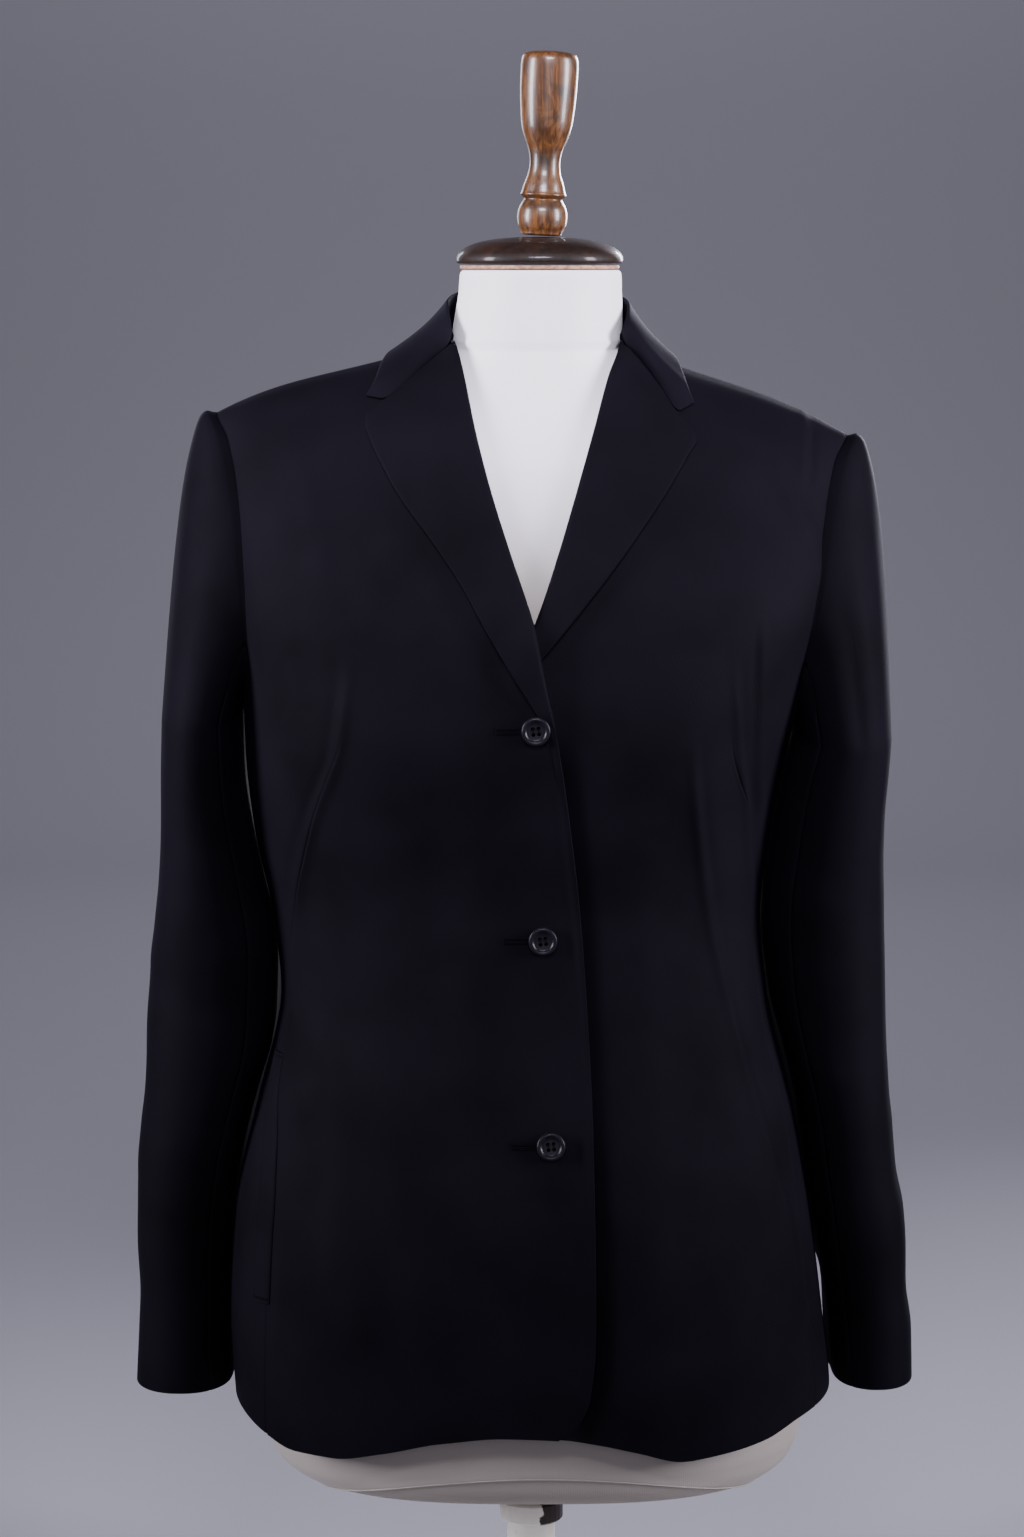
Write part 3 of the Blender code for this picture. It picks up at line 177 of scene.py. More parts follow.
@dataclass(frozen=True)
class Drape:
    """A broad fold in a straight line between two places of a panel."""

    across: float
    height: float
    to_across: float
    to_height: float
    rise: float
    half_width: float

    def lift(self, across: Points, height: Points) -> Points:
        """Rise of the cloth at places across and up the panel.

        Args:
            across: Places across the panel.
            height: Their heights.

        Returns:
            The rise at each.
        """
        run = np.array([self.to_across - self.across, self.to_height - self.height])
        length = np.hypot(*run)
        along = ((across - self.across) * run[0] + (height - self.height) * run[1]) / length
        off = ((across - self.across) * run[1] - (height - self.height) * run[0]) / length
        ends = ease(along / 50 + 0.5) * ease((length - along) / 50 + 0.5)
        return self.rise * ends * np.exp(-((off / self.half_width) ** 2))


@dataclass(frozen=True)
class Crease:
    """A pressed or worn line down a panel: a ridge, with a trough to one side of it.

    The path names places across and up the panel, from top to bottom. The trough lies
    towards the wearer's left where it is positive and to the right where negative.
    """

    path: Rows
    rise: float
    half_width: float
    trough: float
    taper: float

    def lift(self, across: Points, height: Points) -> Points:
        """Rise of the cloth at places across and up the panel.

        Args:
            across: Places across the panel.
            height: Their heights.

        Returns:
            The rise at each.
        """
        path = sorted((h, x) for x, h in self.path)
        heights, places = [h for h, _ in path], [x for _, x in path]
        line = curve(height, heights, places)
        slope = (curve(height + 3, heights, places) - curve(height - 3, heights, places)) / 6
        off = (across - line) / np.sqrt(1 + slope**2)
        ends = ease((height - heights[0]) / self.taper + 0.5)
        ends = ends * ease((heights[-1] - height) / self.taper + 0.5)
        beside = off - math.copysign(1.5 * self.half_width, self.trough)
        shape = self.rise * np.exp(-((off / self.half_width) ** 2))
        shape = shape - abs(self.trough) * np.exp(-((beside / self.half_width) ** 2))
        return shape * ends


@dataclass(frozen=True)
class SleeveFold:
    """A ridge or trough round a sleeve, by height and angle from its outer side."""

    height: float
    turn: float
    rise: float
    tall: float
    wide: float
    tilt: float = 0.006

    def lift(self, turns: Points, height: Any) -> Points:
        """Rise of the cloth at angles in degrees and a height.

        Args:
            turns: Angles from the outer side.
            height: One height or one for each.

        Returns:
            The rise at each.
        """
        off = (turns - self.turn + 180) % 360 - 180
        level = (height - self.height) / self.tall + off * self.tilt
        return self.rise * np.exp(-(level**2) - (off / self.wide) ** 2)


# ---- the body


@dataclass(frozen=True)
class Body:
    """The surface that the blazer's panels lie on, and the lines drawn on it."""

    torso: Table = Table(
        ("height", "right", "left", "square"),
        (
            (140, 186, 184, 2.5), (203, 192.6, 189, 2.5), (256, 195.3, 183.5, 2.45),
            (322, 192, 175, 2.4), (388, 177.5, 163.8, 2.35), (462, 162.2, 146.8, 2.3),
            (511, 166.5, 142.4, 2.3), (562, 177.2, 148, 2.35), (613, 182.6, 157.5, 2.45),
            (660, 184, 168.5, 2.65), (712, 188, 181, 3), (761, 193.5, 189, 3), (825, 203, 199, 3),
            (872, 206, 203, 3),
        ),
    )
    depth: Table = Table(
        ("height", "front", "back"),
        (
            (140, 128, 128), (203, 132, 133), (262, 131, 137), (322, 127, 137), (388, 118, 124),
            (462, 107, 104), (520, 106, 96), (580, 116, 98), (640, 124, 105), (690, 122, 111),
            (735, 112, 113), (775, 97, 110), (810, 78, 99), (838, 57, 77), (856, 36, 51), (866, 17, 25),
            (870, 0, 0),
        ),
    )
    armhole: Table = Table(
        ("share", "front", "back"),
        (
            (0, 90, 90), (0.03, 84, 84), (0.11, 76.5, 78), (0.27, 70.5, 73), (0.37, 69, 71),
            (0.5, 67.8, 69), (0.64, 66.6, 68), (0.78, 66.2, 67.5), (0.91, 68.2, 69), (1, 78, 78),
        ),
    )
    edge: Table = Table(
        ("height", "right", "left"),
        (
            (196, 8, -12), (206, 15, -13), (212, 24, -13), (230, 32.5, -13), (274, 36, -13),
            (383, 34.3, -14), (504, 28, -19), (599, 17.4, -23), (648, 9.5, -26), (672, 4.6, -22),
            (704, -1.8, -1.6), (719, -6.6, 4.2), (745, -15.6, 12.7), (775, -25.4, 21.9),
            (800, -32.6, 29.3), (819, -37.4, 34.9), (851, -44.3, 44.2), (866, -48.4, 50.4),
            (876, -52.5, 52.8),
        ),
    )
    hem: Table = Table(
        ("across", "height"),
        (
            (-192, 203), (-172, 193), (-150, 186), (-127, 186), (-96, 192), (-59, 201), (-22, 205.5),
            (15, 204.2), (39, 200.4), (63, 194.6), (91, 187.5), (113, 189.5), (142, 194.5), (165, 203),
            (189, 208),
        ),
    )
    seam: Table = Table(
        ("height", "right", "left"),
        (
            (195, 58.5, 66), (273, 56.6, 67.5), (328, 57, 69), (375, 62.2, 70.5), (419, 69.4, 71),
            (445, 70.6, 71), (486, 68, 70.6), (525, 59.5, 69.3), (556, 51.2, 64.5), (583, 45.7, 57),
            (608, 40.1, 48.3), (630, 35.5, 42.5), (658, 32.7, 39),
        ),
    )
    ridge_top: float = 870.0
    ridge_start: Pair = (58.0, 53.0)
    ridge_slope: Pair = (0.315, 0.414)
    # Where the padded shoulder starts and ends, how late it swells and by how much
    padding: Rows = ((70, 206, 1.75, 5.0), (85, 204, 1.35, 4.9))
    # From which height, and over how much, depth follows the shoulder line and the neck
    shoulder_from: Pair = (690, 110)
    neck_from: Pair = (770, 90)
    neck_radius: float = 58.0
    # The bust's place across and up, its reach both ways and its rise
    bust: tuple[float, ...] = (92.0, 640.0, 52.0, 62.0, 9.0)
    armhole_bottom: Pair = (645.0, 632.0)
    armhole_tip: Pair = (200.6, 196.3)
    break_height: Pair = (653.0, 668.0)
    overlap_lift: float = 2.8
    # Where the overlap starts across and ends upwards, and over how much
    overlap_from: Pair = (-66, 36)
    overlap_to: Pair = (712, 46)
    # The lapel's roll lifts the front: from where across, round which height and how much
    roll_from: Pair = (-22, 16)
    roll_at: Pair = (690, 20)
    roll_lift: float = 3.7
    seam_gap: float = 0.3
    cloth: float = 1.8

    def half_width(self, across: Any, height: Any) -> Points:
        """Half width of the body on the side that a place is on."""
        right, left = (self.torso.read(side.word, height) for side in Side)
        return np.where(np.asarray(across) < 0, right, left)

    def ridge(self, across: Any) -> Points:
        """Height of the shoulder line over a place across the body.

        Args:
            across: Places from the middle, + to the left.

        Returns:
            The heights.
        """
        across = np.asarray(across, float)
        start = np.where(across < 0, *self.ridge_start)
        slope = np.where(across < 0, *self.ridge_slope)
        height = self.ridge_top - slope * np.maximum(0, np.abs(across) - start)
        for side, (first, last, power, rise) in zip(Side, self.padding):
            share = np.clip((side.value * across - first) / (last - first), 0, 1) ** power
            height = height + rise * np.sin(math.pi * share)
        return height

    def depth_at(self, across: Any, height: Any, face: Face, neck: float) -> Points:
        """Depth of the front or back before its sides round off.

        Args:
            across: Places from the middle.
            height: Their heights.
            face: Front or back.
            neck: Radius of the neck.

        Returns:
            Depths from the middle plane.
        """
        across = np.asarray(across, float)
        height = np.asarray(height, float)
        high, neck_high = (
            ease((height - start) / over) for start, over in (self.shoulder_from, self.neck_from)
        )
        level = height + (self.ridge_top - self.ridge(across)) * high
        depth = self.depth.read(face.word, level)
        round_neck = np.sqrt(np.maximum(0, neck**2 - across**2)) * neck_high
        depth = (depth**3 + round_neck**3) ** (1 / 3)
        if face is Face.FRONT:
            at_across, at_height, wide, tall, rise = self.bust
            aside = ((np.abs(across) - at_across) / wide) ** 2
            depth = depth + rise * np.exp(-aside - ((height - at_height) / tall) ** 2)
        return depth

    def point(self, turn: Any, height: Any, face: Face) -> Points:
        """Outer surface at an angle from the centre line, + to the left.

        Args:
            turn: Angles from the centre line.
            height: Heights.
            face: Front or back.

        Returns:
            The points.
        """
        turn, height = np.broadcast_arrays(np.asarray(turn, float), np.asarray(height, float))
        power = 2 / self.torso.read("square", height)
        across = np.sign(turn) * self.half_width(turn, height) * np.abs(np.sin(turn)) ** power
        out = self.depth_at(across, height, face, self.neck_radius)
        out = face.value * out * np.abs(np.cos(turn)) ** power
        return np.stack([across, out, height], axis=-1)

    def turn_at(self, across: Any, height: Any) -> Points:
        """Angle round the body of a place across it."""
        share = np.clip(np.abs(across) / self.half_width(across, height), 0, 1)
        return np.sign(across) * np.arcsin(share ** (self.torso.read("square", height) / 2))

    def front_at(self, across: Any, height: Any) -> Points:
        """Outer surface of a front over a place across and a height."""
        return self.point(self.turn_at(across, height), height, Face.FRONT)

    def armhole_turn(self, side: Side, height: Any, face: Face) -> Points:
        """Angle round the body of the armhole seam at a height.

        Args:
            side: Which armhole.
            height: Heights.
            face: Front or back.

        Returns:
            Angles in radians.
        """
        bottom = side.of(self.armhole_bottom)
        tip = self.ridge(side.value * side.of(self.armhole_tip))
        share = (np.minimum(height, tip) - bottom) / (tip - bottom)
        return side.value * np.radians(self.armhole.read(face.word, share))

    def seam_turn(self, side: Side, height: Any) -> Points:
        """Angle round the body of the dart and side front seam."""
        return side.value * np.radians(self.seam.read(side.word, height))

    def overlap(self, across: Any, height: Any) -> Points:
        """How far the right front rides over the left one.

        Args:
            across: Places from the middle.
            height: Their heights.

        Returns:
            The rise at each.
        """
        across = np.asarray(across, float)
        height = np.asarray(height, float)
        (edge, wide), (top, tall) = self.overlap_from, self.overlap_to
        near = ease((across - edge) / wide) * (1 - ease((height - top) / tall))
        (edge, wide), (top, tall) = self.roll_from, self.roll_at
        over = self.roll_lift * np.exp(-(((height - top) / tall) ** 2))
        return (self.overlap_lift + over * ease((across - edge) / wide)) * near


def folds(kind: Any, *rows: tuple[Any, ...]) -> tuple[Any, ...]:
    """Folds or creases of one kind from rows of their sizes."""
    return tuple(kind(*row) for row in rows)


# The folds that the solids have too: across and height of both ends, rise and half width
DRAPES = {
    Side.RIGHT: folds(Drape, (-120, 420, -105, 250, 2.2, 17), (-62, 360, -58, 205, 1.6, 20)),
    Side.LEFT: folds(
        Drape,
        (96, 612, 122, 452, 2.4, 13), (122, 452, 171, 236, 3.4, 17), (60, 380, 76, 205, 1.8, 22),
    ),
}
# Smaller ones, pressed and worn into the cloth: path, rise, half width, trough and taper
FRONT_CREASES = {
    Side.RIGHT: folds(
        Crease,
        (
            ((-114, 668), (-116.5, 650), (-121.5, 620), (-128, 602), (-134.7, 585), (-143, 556),
             (-148.5, 523), (-151.5, 487), (-153, 445)), 1.5, 4.2, -1.1, 44,
        ),
        (((-149.6, 680), (-148.4, 622), (-147, 574), (-151, 520)), 0.7, 7, 0.25, 60),
        (((-174, 375), (-179, 330), (-182, 290), (-181.5, 235)), 1.3, 5.5, 0.6, 40),
        (((-158, 440), (-157.5, 375), (-158.5, 323), (-160, 260)), 0.6, 4.5, 0, 50),
        (((-133, 543), (-127.5, 467), (-124, 377), (-127, 286)), 0.8, 9, -0.3, 60),
        (((-152, 812), (-136, 770), (-127, 722)), 0.7, 8, 0.2, 40),
        (((-176, 770), (-170, 724), (-168, 690)), 0.8, 5, 0.3, 30),
        (((-96, 470), (-83, 351), (-71, 259)), 0.5, 13, 0.2, 60),
        (((-41, 485), (-34, 420), (-30, 350)), 0.4, 12, 0, 60),
        (((-14, 604), (-30, 572), (-52, 545)), -0.4, 9, 0, 30),
        # The pressed front edge, a little in from the fold
        (
            ((6.5, 632), (11.5, 599), (17.5, 550), (22.5, 504), (26.5, 440), (29, 383), (30, 320),
             (30.5, 274), (27.5, 236)), 0.45, 2.4, 0.3, 30,
        ),
        (((33, 430), (35, 340), (34, 270), (31, 232)), 1.2, 6, 0, 50),
    ),
    Side.LEFT: folds(
        Crease,
        (((146, 793), (158, 772), (170, 744), (175.5, 719)), 1.2, 5.5, 0.5, 26),
        (((136.5, 694), (136.5, 658), (137, 614), (139, 580)), 1.5, 2.8, -0.9, 34),
        (
            ((120, 668), (121.2, 650), (123.7, 622), (127.6, 597), (130.9, 565), (134, 530)),
            1.4, 2.8, 1.0, 34,
        ),
        (
            ((95, 616), (96.4, 596), (101.8, 551), (107.5, 514), (115.4, 481), (124.5, 444),
             (139.7, 390), (148.8, 358), (158, 320), (164, 277)), 1.5, 3.6, 0.9, 54,
        ),
        (((62.9, 534), (69.4, 411), (75.5, 290)), 0.5, 10, 0.2, 60),
        (((172, 818), (170, 800), (169, 786)), -1.3, 3.2, 0, 12),
        (((166, 826), (165, 806), (164, 788)), 0.8, 3.4, 0, 14),
        # Where the lower front turns back under the overlap
        (
            ((11.5, 620), (15.4, 599), (26, 504), (30, 440), (32.3, 383), (34, 330), (34.5, 274),
             (33, 245), (30, 228), (25, 215)), -3.8, 7, 0, 44,
        ),
        (((35, 284), (35, 274), (33.5, 245), (30.5, 228), (26, 212)), -1.5, 8, 0, 30),
        (((56, 470), (60, 380), (64, 300), (64, 230)), 0.7, 10, 0, 60),
        (((110, 745), (84, 700), (64, 664)), 0.5, 12, 0, 40),
    ),
}
BACK_CREASES = {
    Side.RIGHT: folds(
        Crease,
        (((-58, 450), (-70, 340), (-86, 225)), 2.0, 15, 0.6, 60),
        (((-128, 640), (-112, 560), (-84, 500)), 1.1, 10, -0.4, 40),
        (((-156, 790), (-138, 740), (-126, 680)), 1.3, 9, -0.4, 40),
        (((-24, 540), (-36, 500), (-60, 462)), -0.7, 12, 0, 40),
        (((-150, 430), (-146, 360), (-152, 270)), 1.0, 9, 0.3, 50),
    ),
    Side.LEFT: folds(
        Crease,
        (((66, 455), (80, 350), (100, 220)), 2.2, 14, -0.6, 60),
        (((118, 650), (100, 566), (66, 505)), 1.0, 10, 0.4, 40),
        (((152, 785), (130, 735), (116, 668)), 1.4, 8.5, 0.5, 40),
        (((20, 525), (38, 490), (60, 455)), -0.7, 13, 0, 40),
        (((138, 400), (140, 330), (147, 250)), 0.9, 9, -0.3, 50),
    ),
}


# ---- meshes


def unit(vectors: Points) -> Points:
    """Vectors of a grid at a length of one."""
    return vectors / np.maximum(norm(vectors, axis=-1, keepdims=True), 1e-9)


def turns_round(count: int) -> Points:
    """Angles of even places round a circle."""
    return np.arange(count) * 2 * math.pi / count


def normals_of(grid: Points, outward: Points) -> Points:
    """Unit normals of a grid, turned to the side that outward names."""
    normals = unit(np.cross(np.gradient(grid, axis=0), np.gradient(grid, axis=1)))
    return -normals if np.sum(normals * outward) < 0 else normals


def ring_normals(rings: Points) -> Points:
    """Unit normals of a run of closed rings, away from their middles.

    Args:
        rings: Rings in order, all with as many points.

    Returns:
        A normal for each point.
    """
    wrapped = np.concatenate([rings[:, -2:], rings, rings[:, :2]], axis=1)
    return normals_of(wrapped, wrapped - rings.mean(axis=1, keepdims=True))[:, 2:-2]


def quads(*corners: Points) -> Points:
    """Faces of four corners each, from grids of the corners' indices."""
    return np.stack([corner.ravel() for corner in corners], axis=1)


def signed_volume(points: Points, faces: Faces) -> float:
    """Six times the volume that faces hold, negative where they point inwards.

    Args:
        points: Corner points.
        faces: Faces as indices of points.

    Returns:
        Six times the volume.
    """
    total = 0.0
    centre = points.mean(axis=0)
    for size in {len(face) for face in faces}:
        same = np.array([face for face in faces if len(face) == size])
        for second in range(1, size - 1):
            corners = points[same[:, [0, second, second + 1]]] - centre
            total += np.linalg.det(corners).sum()
    return total


def make_object(name: str, points: Points, faces: Faces, uvs: Points | None = None) -> Thing:
    """Make a smooth shaded mesh, faces out.

    Args:
        name: Name of the object.
        points: Its points in millimetres.
        faces: Its faces as indices of points.
        uvs: A place on the cloth's grain for each point, in millimetres.

    Returns:
        The object, in the scene.
    """
    if signed_volume(points, faces) < 0:
        faces = [tuple(reversed(face)) for face in faces]
    mesh = bpy.data.meshes.new(name)
    mesh.from_pydata((points * MM).tolist(), [], faces)
    if uvs is not None:
        layer = mesh.uv_layers.new(name="grain")
        corner = np.empty(len(mesh.loops), np.int32)
        mesh.loops.foreach_get("vertex_index", corner)
        layer.data.foreach_set("uv", (uvs[corner] * MM).astype(np.float32).ravel())
    mesh.validate()
    mesh.update()
    mesh.shade_smooth()
    mesh.set_sharp_from_angle(angle=math.radians(SHARP_DEGREES))
    thing = bpy.data.objects.new(name, mesh)
    bpy.context.scene.collection.objects.link(thing)
    return thing


def lengths(grid: Points) -> Points:
    """Grain places of a grid: how far along its rows and columns each point lies.

    Args:
        grid: Rows of points.

    Returns:
        Places across and along.
    """
    across = norm(np.diff(grid, axis=1), axis=2).cumsum(axis=1)
    along = norm(np.diff(grid, axis=0), axis=2).cumsum(axis=0)
    across = np.concatenate([np.zeros((len(grid), 1)), across], axis=1)
    along = np.concatenate([np.zeros((1, grid.shape[1])), along], axis=0)
    return np.stack([across, along], axis=-1)


def make_cloth(name: str, outer: Points, inner: Points) -> Thing:
    """Close two matching grids into cloth with a rounded edge all round.

    Args:
        name: Name of the object.
        outer: Points of the outer side.
        inner: The matching points behind them.

    Returns:
        The piece.
    """
    rows, columns = outer.shape[:2]
    count = rows * columns
    places = np.arange(count).reshape(rows, columns)
    panes = quads(places[:-1, :-1], places[:-1, 1:], places[1:, 1:], places[1:, :-1])
    faces = panes.tolist() + (panes[:, ::-1] + count).tolist()
    rim = np.concatenate([places[0], places[1:, -1], places[-1, -2::-1], places[-2:0:-1, 0]])
    inward = np.concatenate([places[1], places[1:, -2], places[-2, -2::-1], places[-2:0:-1, 1]])
    flat_outer, flat_inner = outer.reshape(-1, 3), inner.reshape(-1, 3)
    middle = 0.5 * (flat_outer[rim] + flat_inner[rim])
    away = unit(middle - 0.5 * (flat_outer[inward] + flat_inner[inward]))
    thick = norm(flat_outer[rim] - flat_inner[rim], axis=1, keepdims=True)
    points = np.concatenate([flat_outer, flat_inner, middle + away * thick * EDGE_BULGE])
    edge = np.arange(len(rim)) + 2 * count
    after, edge_after = np.roll(rim, -1), np.roll(edge, -1)
    faces += quads(after, rim, edge, edge_after).tolist()
    faces += quads(edge_after, edge, rim + count, after + count).tolist()
    grain = lengths(outer).reshape(-1, 2)
    uvs = np.concatenate([grain, grain, grain[rim]])
    return make_object(name, points, [tuple(face) for face in faces], uvs)


def make_tube(name: str, rings: Points) -> Thing:
    """Close a run of rings, with one face at each end.

    Args:
        name: Name of the object.
        rings: Rings in order.

    Returns:
        The piece.
    """
    rows, count = rings.shape[:2]
    places = np.arange(rows * count).reshape(rows, count)
    after = np.roll(places, -1, axis=1)
    faces = quads(places[:-1], after[:-1], after[1:], places[1:]).tolist()
    faces += [places[0, ::-1].tolist(), places[-1].tolist()]
    grain = lengths(rings).reshape(-1, 2)
    return make_object(name, rings.reshape(-1, 3), [tuple(face) for face in faces], grain)


def round_ring(ring: Points) -> Points:
    """Cut the corners of a closed ring until it is smooth.

    Args:
        ring: Points in order.

    Returns:
        Four times as many points.
    """
    for _ in range(ROUNDS):
        after = np.roll(ring, -1, axis=0)
        ring = np.stack([0.75 * ring + 0.25 * after, 0.25 * ring + 0.75 * after], axis=1)
        ring = ring.reshape(-1, 3)
    return ring


def end_caps(ring: Points, first: int, rise: float) -> list[Points]:
    """Two rings that round off the end of a folded band.

    Args:
        ring: The section at the end.
        first: The point that lies under the first one, on the band's other side.
        rise: How high the rounded end stands out, as a share of its thickness.

    Returns:
        The rings, from the wider to the closed one.
    """
    pair = (first - np.arange(len(ring))) % len(ring)
    middle = 0.5 * (ring + ring[pair])
    caps = []
    for pinch, out in ((0.72, 0.35), (0.0, 0.55)):
        cap = middle + (ring - middle) * pinch
        cap[:, 2] += out * rise
        caps.append(cap)
    return caps


def soften(profile: Any) -> Points:
    """Round the corners of an open profile, keeping its ends.

    Args:
        profile: Points in order.

    Returns:
        More points, the same two ends.
    """
    line = np.array(profile, float)
    for _ in range(ROUNDS):
        cut = np.empty((2 * len(line) - 2, 2))
        cut[0::2] = 0.78 * line[:-1] + 0.22 * line[1:]
        cut[1::2] = 0.22 * line[:-1] + 0.78 * line[1:]
        line = np.concatenate([line[:1], cut, line[-1:]])
    return line


def make_lathe(name: str, profile: Any, steps: int, place: Matrix) -> Thing:
    """Turn a softened profile of radius and height round the vertical axis.

    Args:
        name: Name of the object.
        profile: Radius and height down the outer side, in millimetres.
        steps: Faces round the axis.
        place: Where it stands, in metres.

    Returns:
        The turned object.
    """
    turns = turns_round(steps)
    rings = [
        np.stack([r * np.cos(turns), r * np.sin(turns), np.full(steps, h)], axis=1)
        for r, h in ((max(r, AXIS_GAP), h) for r, h in soften(profile))
    ]
    thing = make_tube(name, np.array(rings))
    thing.data.transform(place)
    return thing


def make_thread(name: str, strands: list[Points], radius: float) -> Thing:
    """Join many short strands of sewing thread into one mesh of small tubes.

    Args:
        name: Name of the object.
        strands: The points along each strand, in millimetres.
        radius: The thread's radius in millimetres.

    Returns:
        The joined stitches.
    """
    points: list[Points] = []
    faces: Faces = []
    start = 0
    for strand in strands:
        run = unit(np.gradient(strand, axis=0))
        across = unit(np.cross(run, OFF_STITCH))
        up = np.cross(run, across)
        for turn in turns_round(THREAD_SIDES):
            points.append(strand + radius * (across * math.cos(turn) + up * math.sin(turn)))
        size = len(strand)
        lines = [start + side * size for side in range(THREAD_SIDES)]
        for near, far in zip(lines, lines[1:] + lines[:1]):
            faces += [(near + k, near + k + 1, far + k + 1, far + k) for k in range(size - 1)]
        faces += [tuple(lines), tuple(line + size - 1 for line in reversed(lines))]
        start += THREAD_SIDES * size
    return make_object(name, np.concatenate(points), faces)


# ---- materials


def linear(code: str) -> tuple[float, float, float, float]:
    """Turn an sRGB hex colour to linear values with full alpha.

    Args:
        code: The colour, as #rrggbb.

    Returns:
        Red, green, blue and alpha.
    """
    parts = [int(code[place : place + 2], 16) / 255 for place in (1, 3, 5)]
    values = [p / 12.92 if p <= 0.04045 else ((p + 0.055) / 1.055) ** 2.4 for p in parts]
    return (values[0], values[1], values[2], 1.0)


def fill(tree: Tree, node: bpy.types.Node, values: dict[Any, Any]) -> None:
    """Set a node's properties and sockets by name or index, and join those given a socket.

    Args:
        tree: The material's node tree.
        node: The node to set.
        values: Properties, socket values, sRGB hex colours, or other nodes' outputs.
    """
    for key, value in values.items():
        if isinstance(value, str) and value.startswith("#"):
            value = linear(value)
        if isinstance(key, str) and hasattr(node, key):
            setattr(node, key, value)
        elif isinstance(value, Socket):
            tree.links.new(value, node.inputs[key])
        else:
            node.inputs[key].default_value = value


def add_node(
    tree: Tree, kind: str, values: dict[Any, Any] | None = None, out: int | str = 0
) -> Socket:
    """Add a node with its settings and links.

    Args:
        tree: The material's node tree.
        kind: The node's type without its ShaderNode prefix.
        values: What fill sets or joins.
        out: The output wanted, by name or index.

    Returns:
        That output.
    """
    node = tree.nodes.new(f"ShaderNode{kind}")
    fill(tree, node, values or {})
    return node.outputs[out]


def start_material(name: str) -> tuple[Material, Tree, bpy.types.Node, Socket]:
    """Make a material and give its tree, its Principled shader and the body's own places.

    Args:
        name: The material's name.

    Returns:
        The material, its tree, its shader and the places.
    """
    material = bpy.data.materials.new(name)
    material.use_nodes = True
    tree = material.node_tree
    places = add_node(tree, "TexCoord", out="Object")
    return material, tree, tree.nodes["Principled BSDF"], places


@dataclass(frozen=True)
class Suiting:
    """Worsted wool twill, woven and pressed: nearly black navy with a faint bluish nap."""

    name: str = "worsted_wool_twill_woven"
    deep: str = "#09070b"
    lit: str = "#0e0c12"
    nap: str = "#5f58a6"
    # Twill lines of the real cloth are 0.6 mm apart, too fine to show, so drawn at 1.3 mm
    twill_mm: float = 1.3
    blotch_mm: float = 60.0
    fibre_mm: float = 0.9
    sheen: float = 0.006
    gloss: float = 0.02
    bump: float = 0.16

    def build(self) -> Material:
        """Make the material.

        Returns:
            The material.
        """
        material, tree, shader, body = start_material(self.name)
        grain = add_node(tree, "UVMap", {"uv_map": "grain"})
        twill = add_node(
            tree, "TexWave",
            {"bands_direction": "DIAGONAL", "Scale": 0.444 / (self.twill_mm * MM),
             "Distortion": 0.6, "Detail": 1.0, "Detail Scale": 2.0, "Vector": grain}, "Fac",
        )
        blotch, fibre = (
            add_node(tree, "TexNoise", {"Scale": 1 / (mm * MM), "Detail": detail, "Vector": body})
            for mm, detail in ((self.blotch_mm, 3.0), (self.fibre_mm, 2.0))
        )
        worn = add_node(tree, "MapRange", {"From Min": 0.3, "From Max": 0.7, "Value": blotch})
        rough = add_node(tree, "MapRange", {"To Min": 0.66, "To Max": 0.8, "Value": fibre})
        yarn = add_node(tree, "Math", {"operation": "MULTIPLY", 0: twill, 1: fibre})
        share = add_node(tree, "Math", {"operation": "MULTIPLY_ADD", 0: yarn, 1: 0.55, 2: worn})
        tint = add_node(tree, "Mix", {"data_type": "RGBA", 0: share, 6: self.deep, 7: self.lit}, 2)
        bump = add_node(tree, "Bump", {"Strength": self.bump, "Distance": 0.4 * MM, "Height": yarn})
        fill(
            tree, shader,
            {"Base Color": tint, "Roughness": rough, "Normal": bump,
             "Sheen Weight": self.sheen, "Sheen Roughness": 0.4,
             "Sheen Tint": self.nap, "Specular IOR Level": self.gloss},
        )
        return material


@dataclass(frozen=True)
class Jersey:
    """Cotton jersey, knitted and stretched over the form: white, matt, a little grey, with painted
    shade below the neck.
    """

    name: str = "cotton_jersey_knitted"
    clean: str = "#eae7ec"
    dull: str = "#958d87"
    # Painted shade: the cover is painted darker and warmer below the neck, where the lapels shade it
    clean_above_mm: float = 800.0
    dull_below_mm: float = 695.0
    # Wales of the knit are 0.8 mm apart, drawn at 1.4 mm so that they show close to
    wale_mm: float = 1.4

    def build(self) -> Material:
        """Make the material.

        Returns:
            The material.
        """
        material, tree, shader, body = start_material(self.name)
        grain = add_node(tree, "UVMap", {"uv_map": "grain"})
        wale, course = (
            add_node(
                tree, "TexWave",
                {"bands_direction": way, "Scale": 0.314 / (self.wale_mm * MM),
                 "Distortion": 0.5, "Vector": grain},
                "Fac",
            )
            for way in "XY"
        )
        knit = add_node(tree, "Math", {"operation": "ADD", 0: wale, 1: course})
        handled = add_node(tree, "TexNoise", {"Scale": 9.0, "Detail": 4.0, "Vector": body})
        # Painted shade: the colour turns darker and warmer downwards below the neck
        lower = add_node(
            tree, "MapRange",
            {"From Min": self.clean_above_mm * MM, "From Max": self.dull_below_mm * MM,
             "Value": add_node(tree, "SeparateXYZ", {0: body}, "Z")},
        )
        # Random greying from handling, plus the painted shade below the neck
        share = add_node(
            tree, "Math",
            {"operation": "MULTIPLY_ADD", "use_clamp": True, 0: handled, 1: 0.24, 2: lower},
        )
        tint = add_node(tree, "Mix", {"data_type": "RGBA", 0: share, 6: self.clean, 7: self.dull}, 2)
        bump = add_node(tree, "Bump", {"Strength": 0.12, "Distance": 0.4 * MM, "Height": knit})
        fill(
            tree, shader,
            {"Base Color": tint, "Normal": bump, "Roughness": 0.88, "Sheen Weight": 0.1,
             "Specular IOR Level": 0.25},
        )
        return material


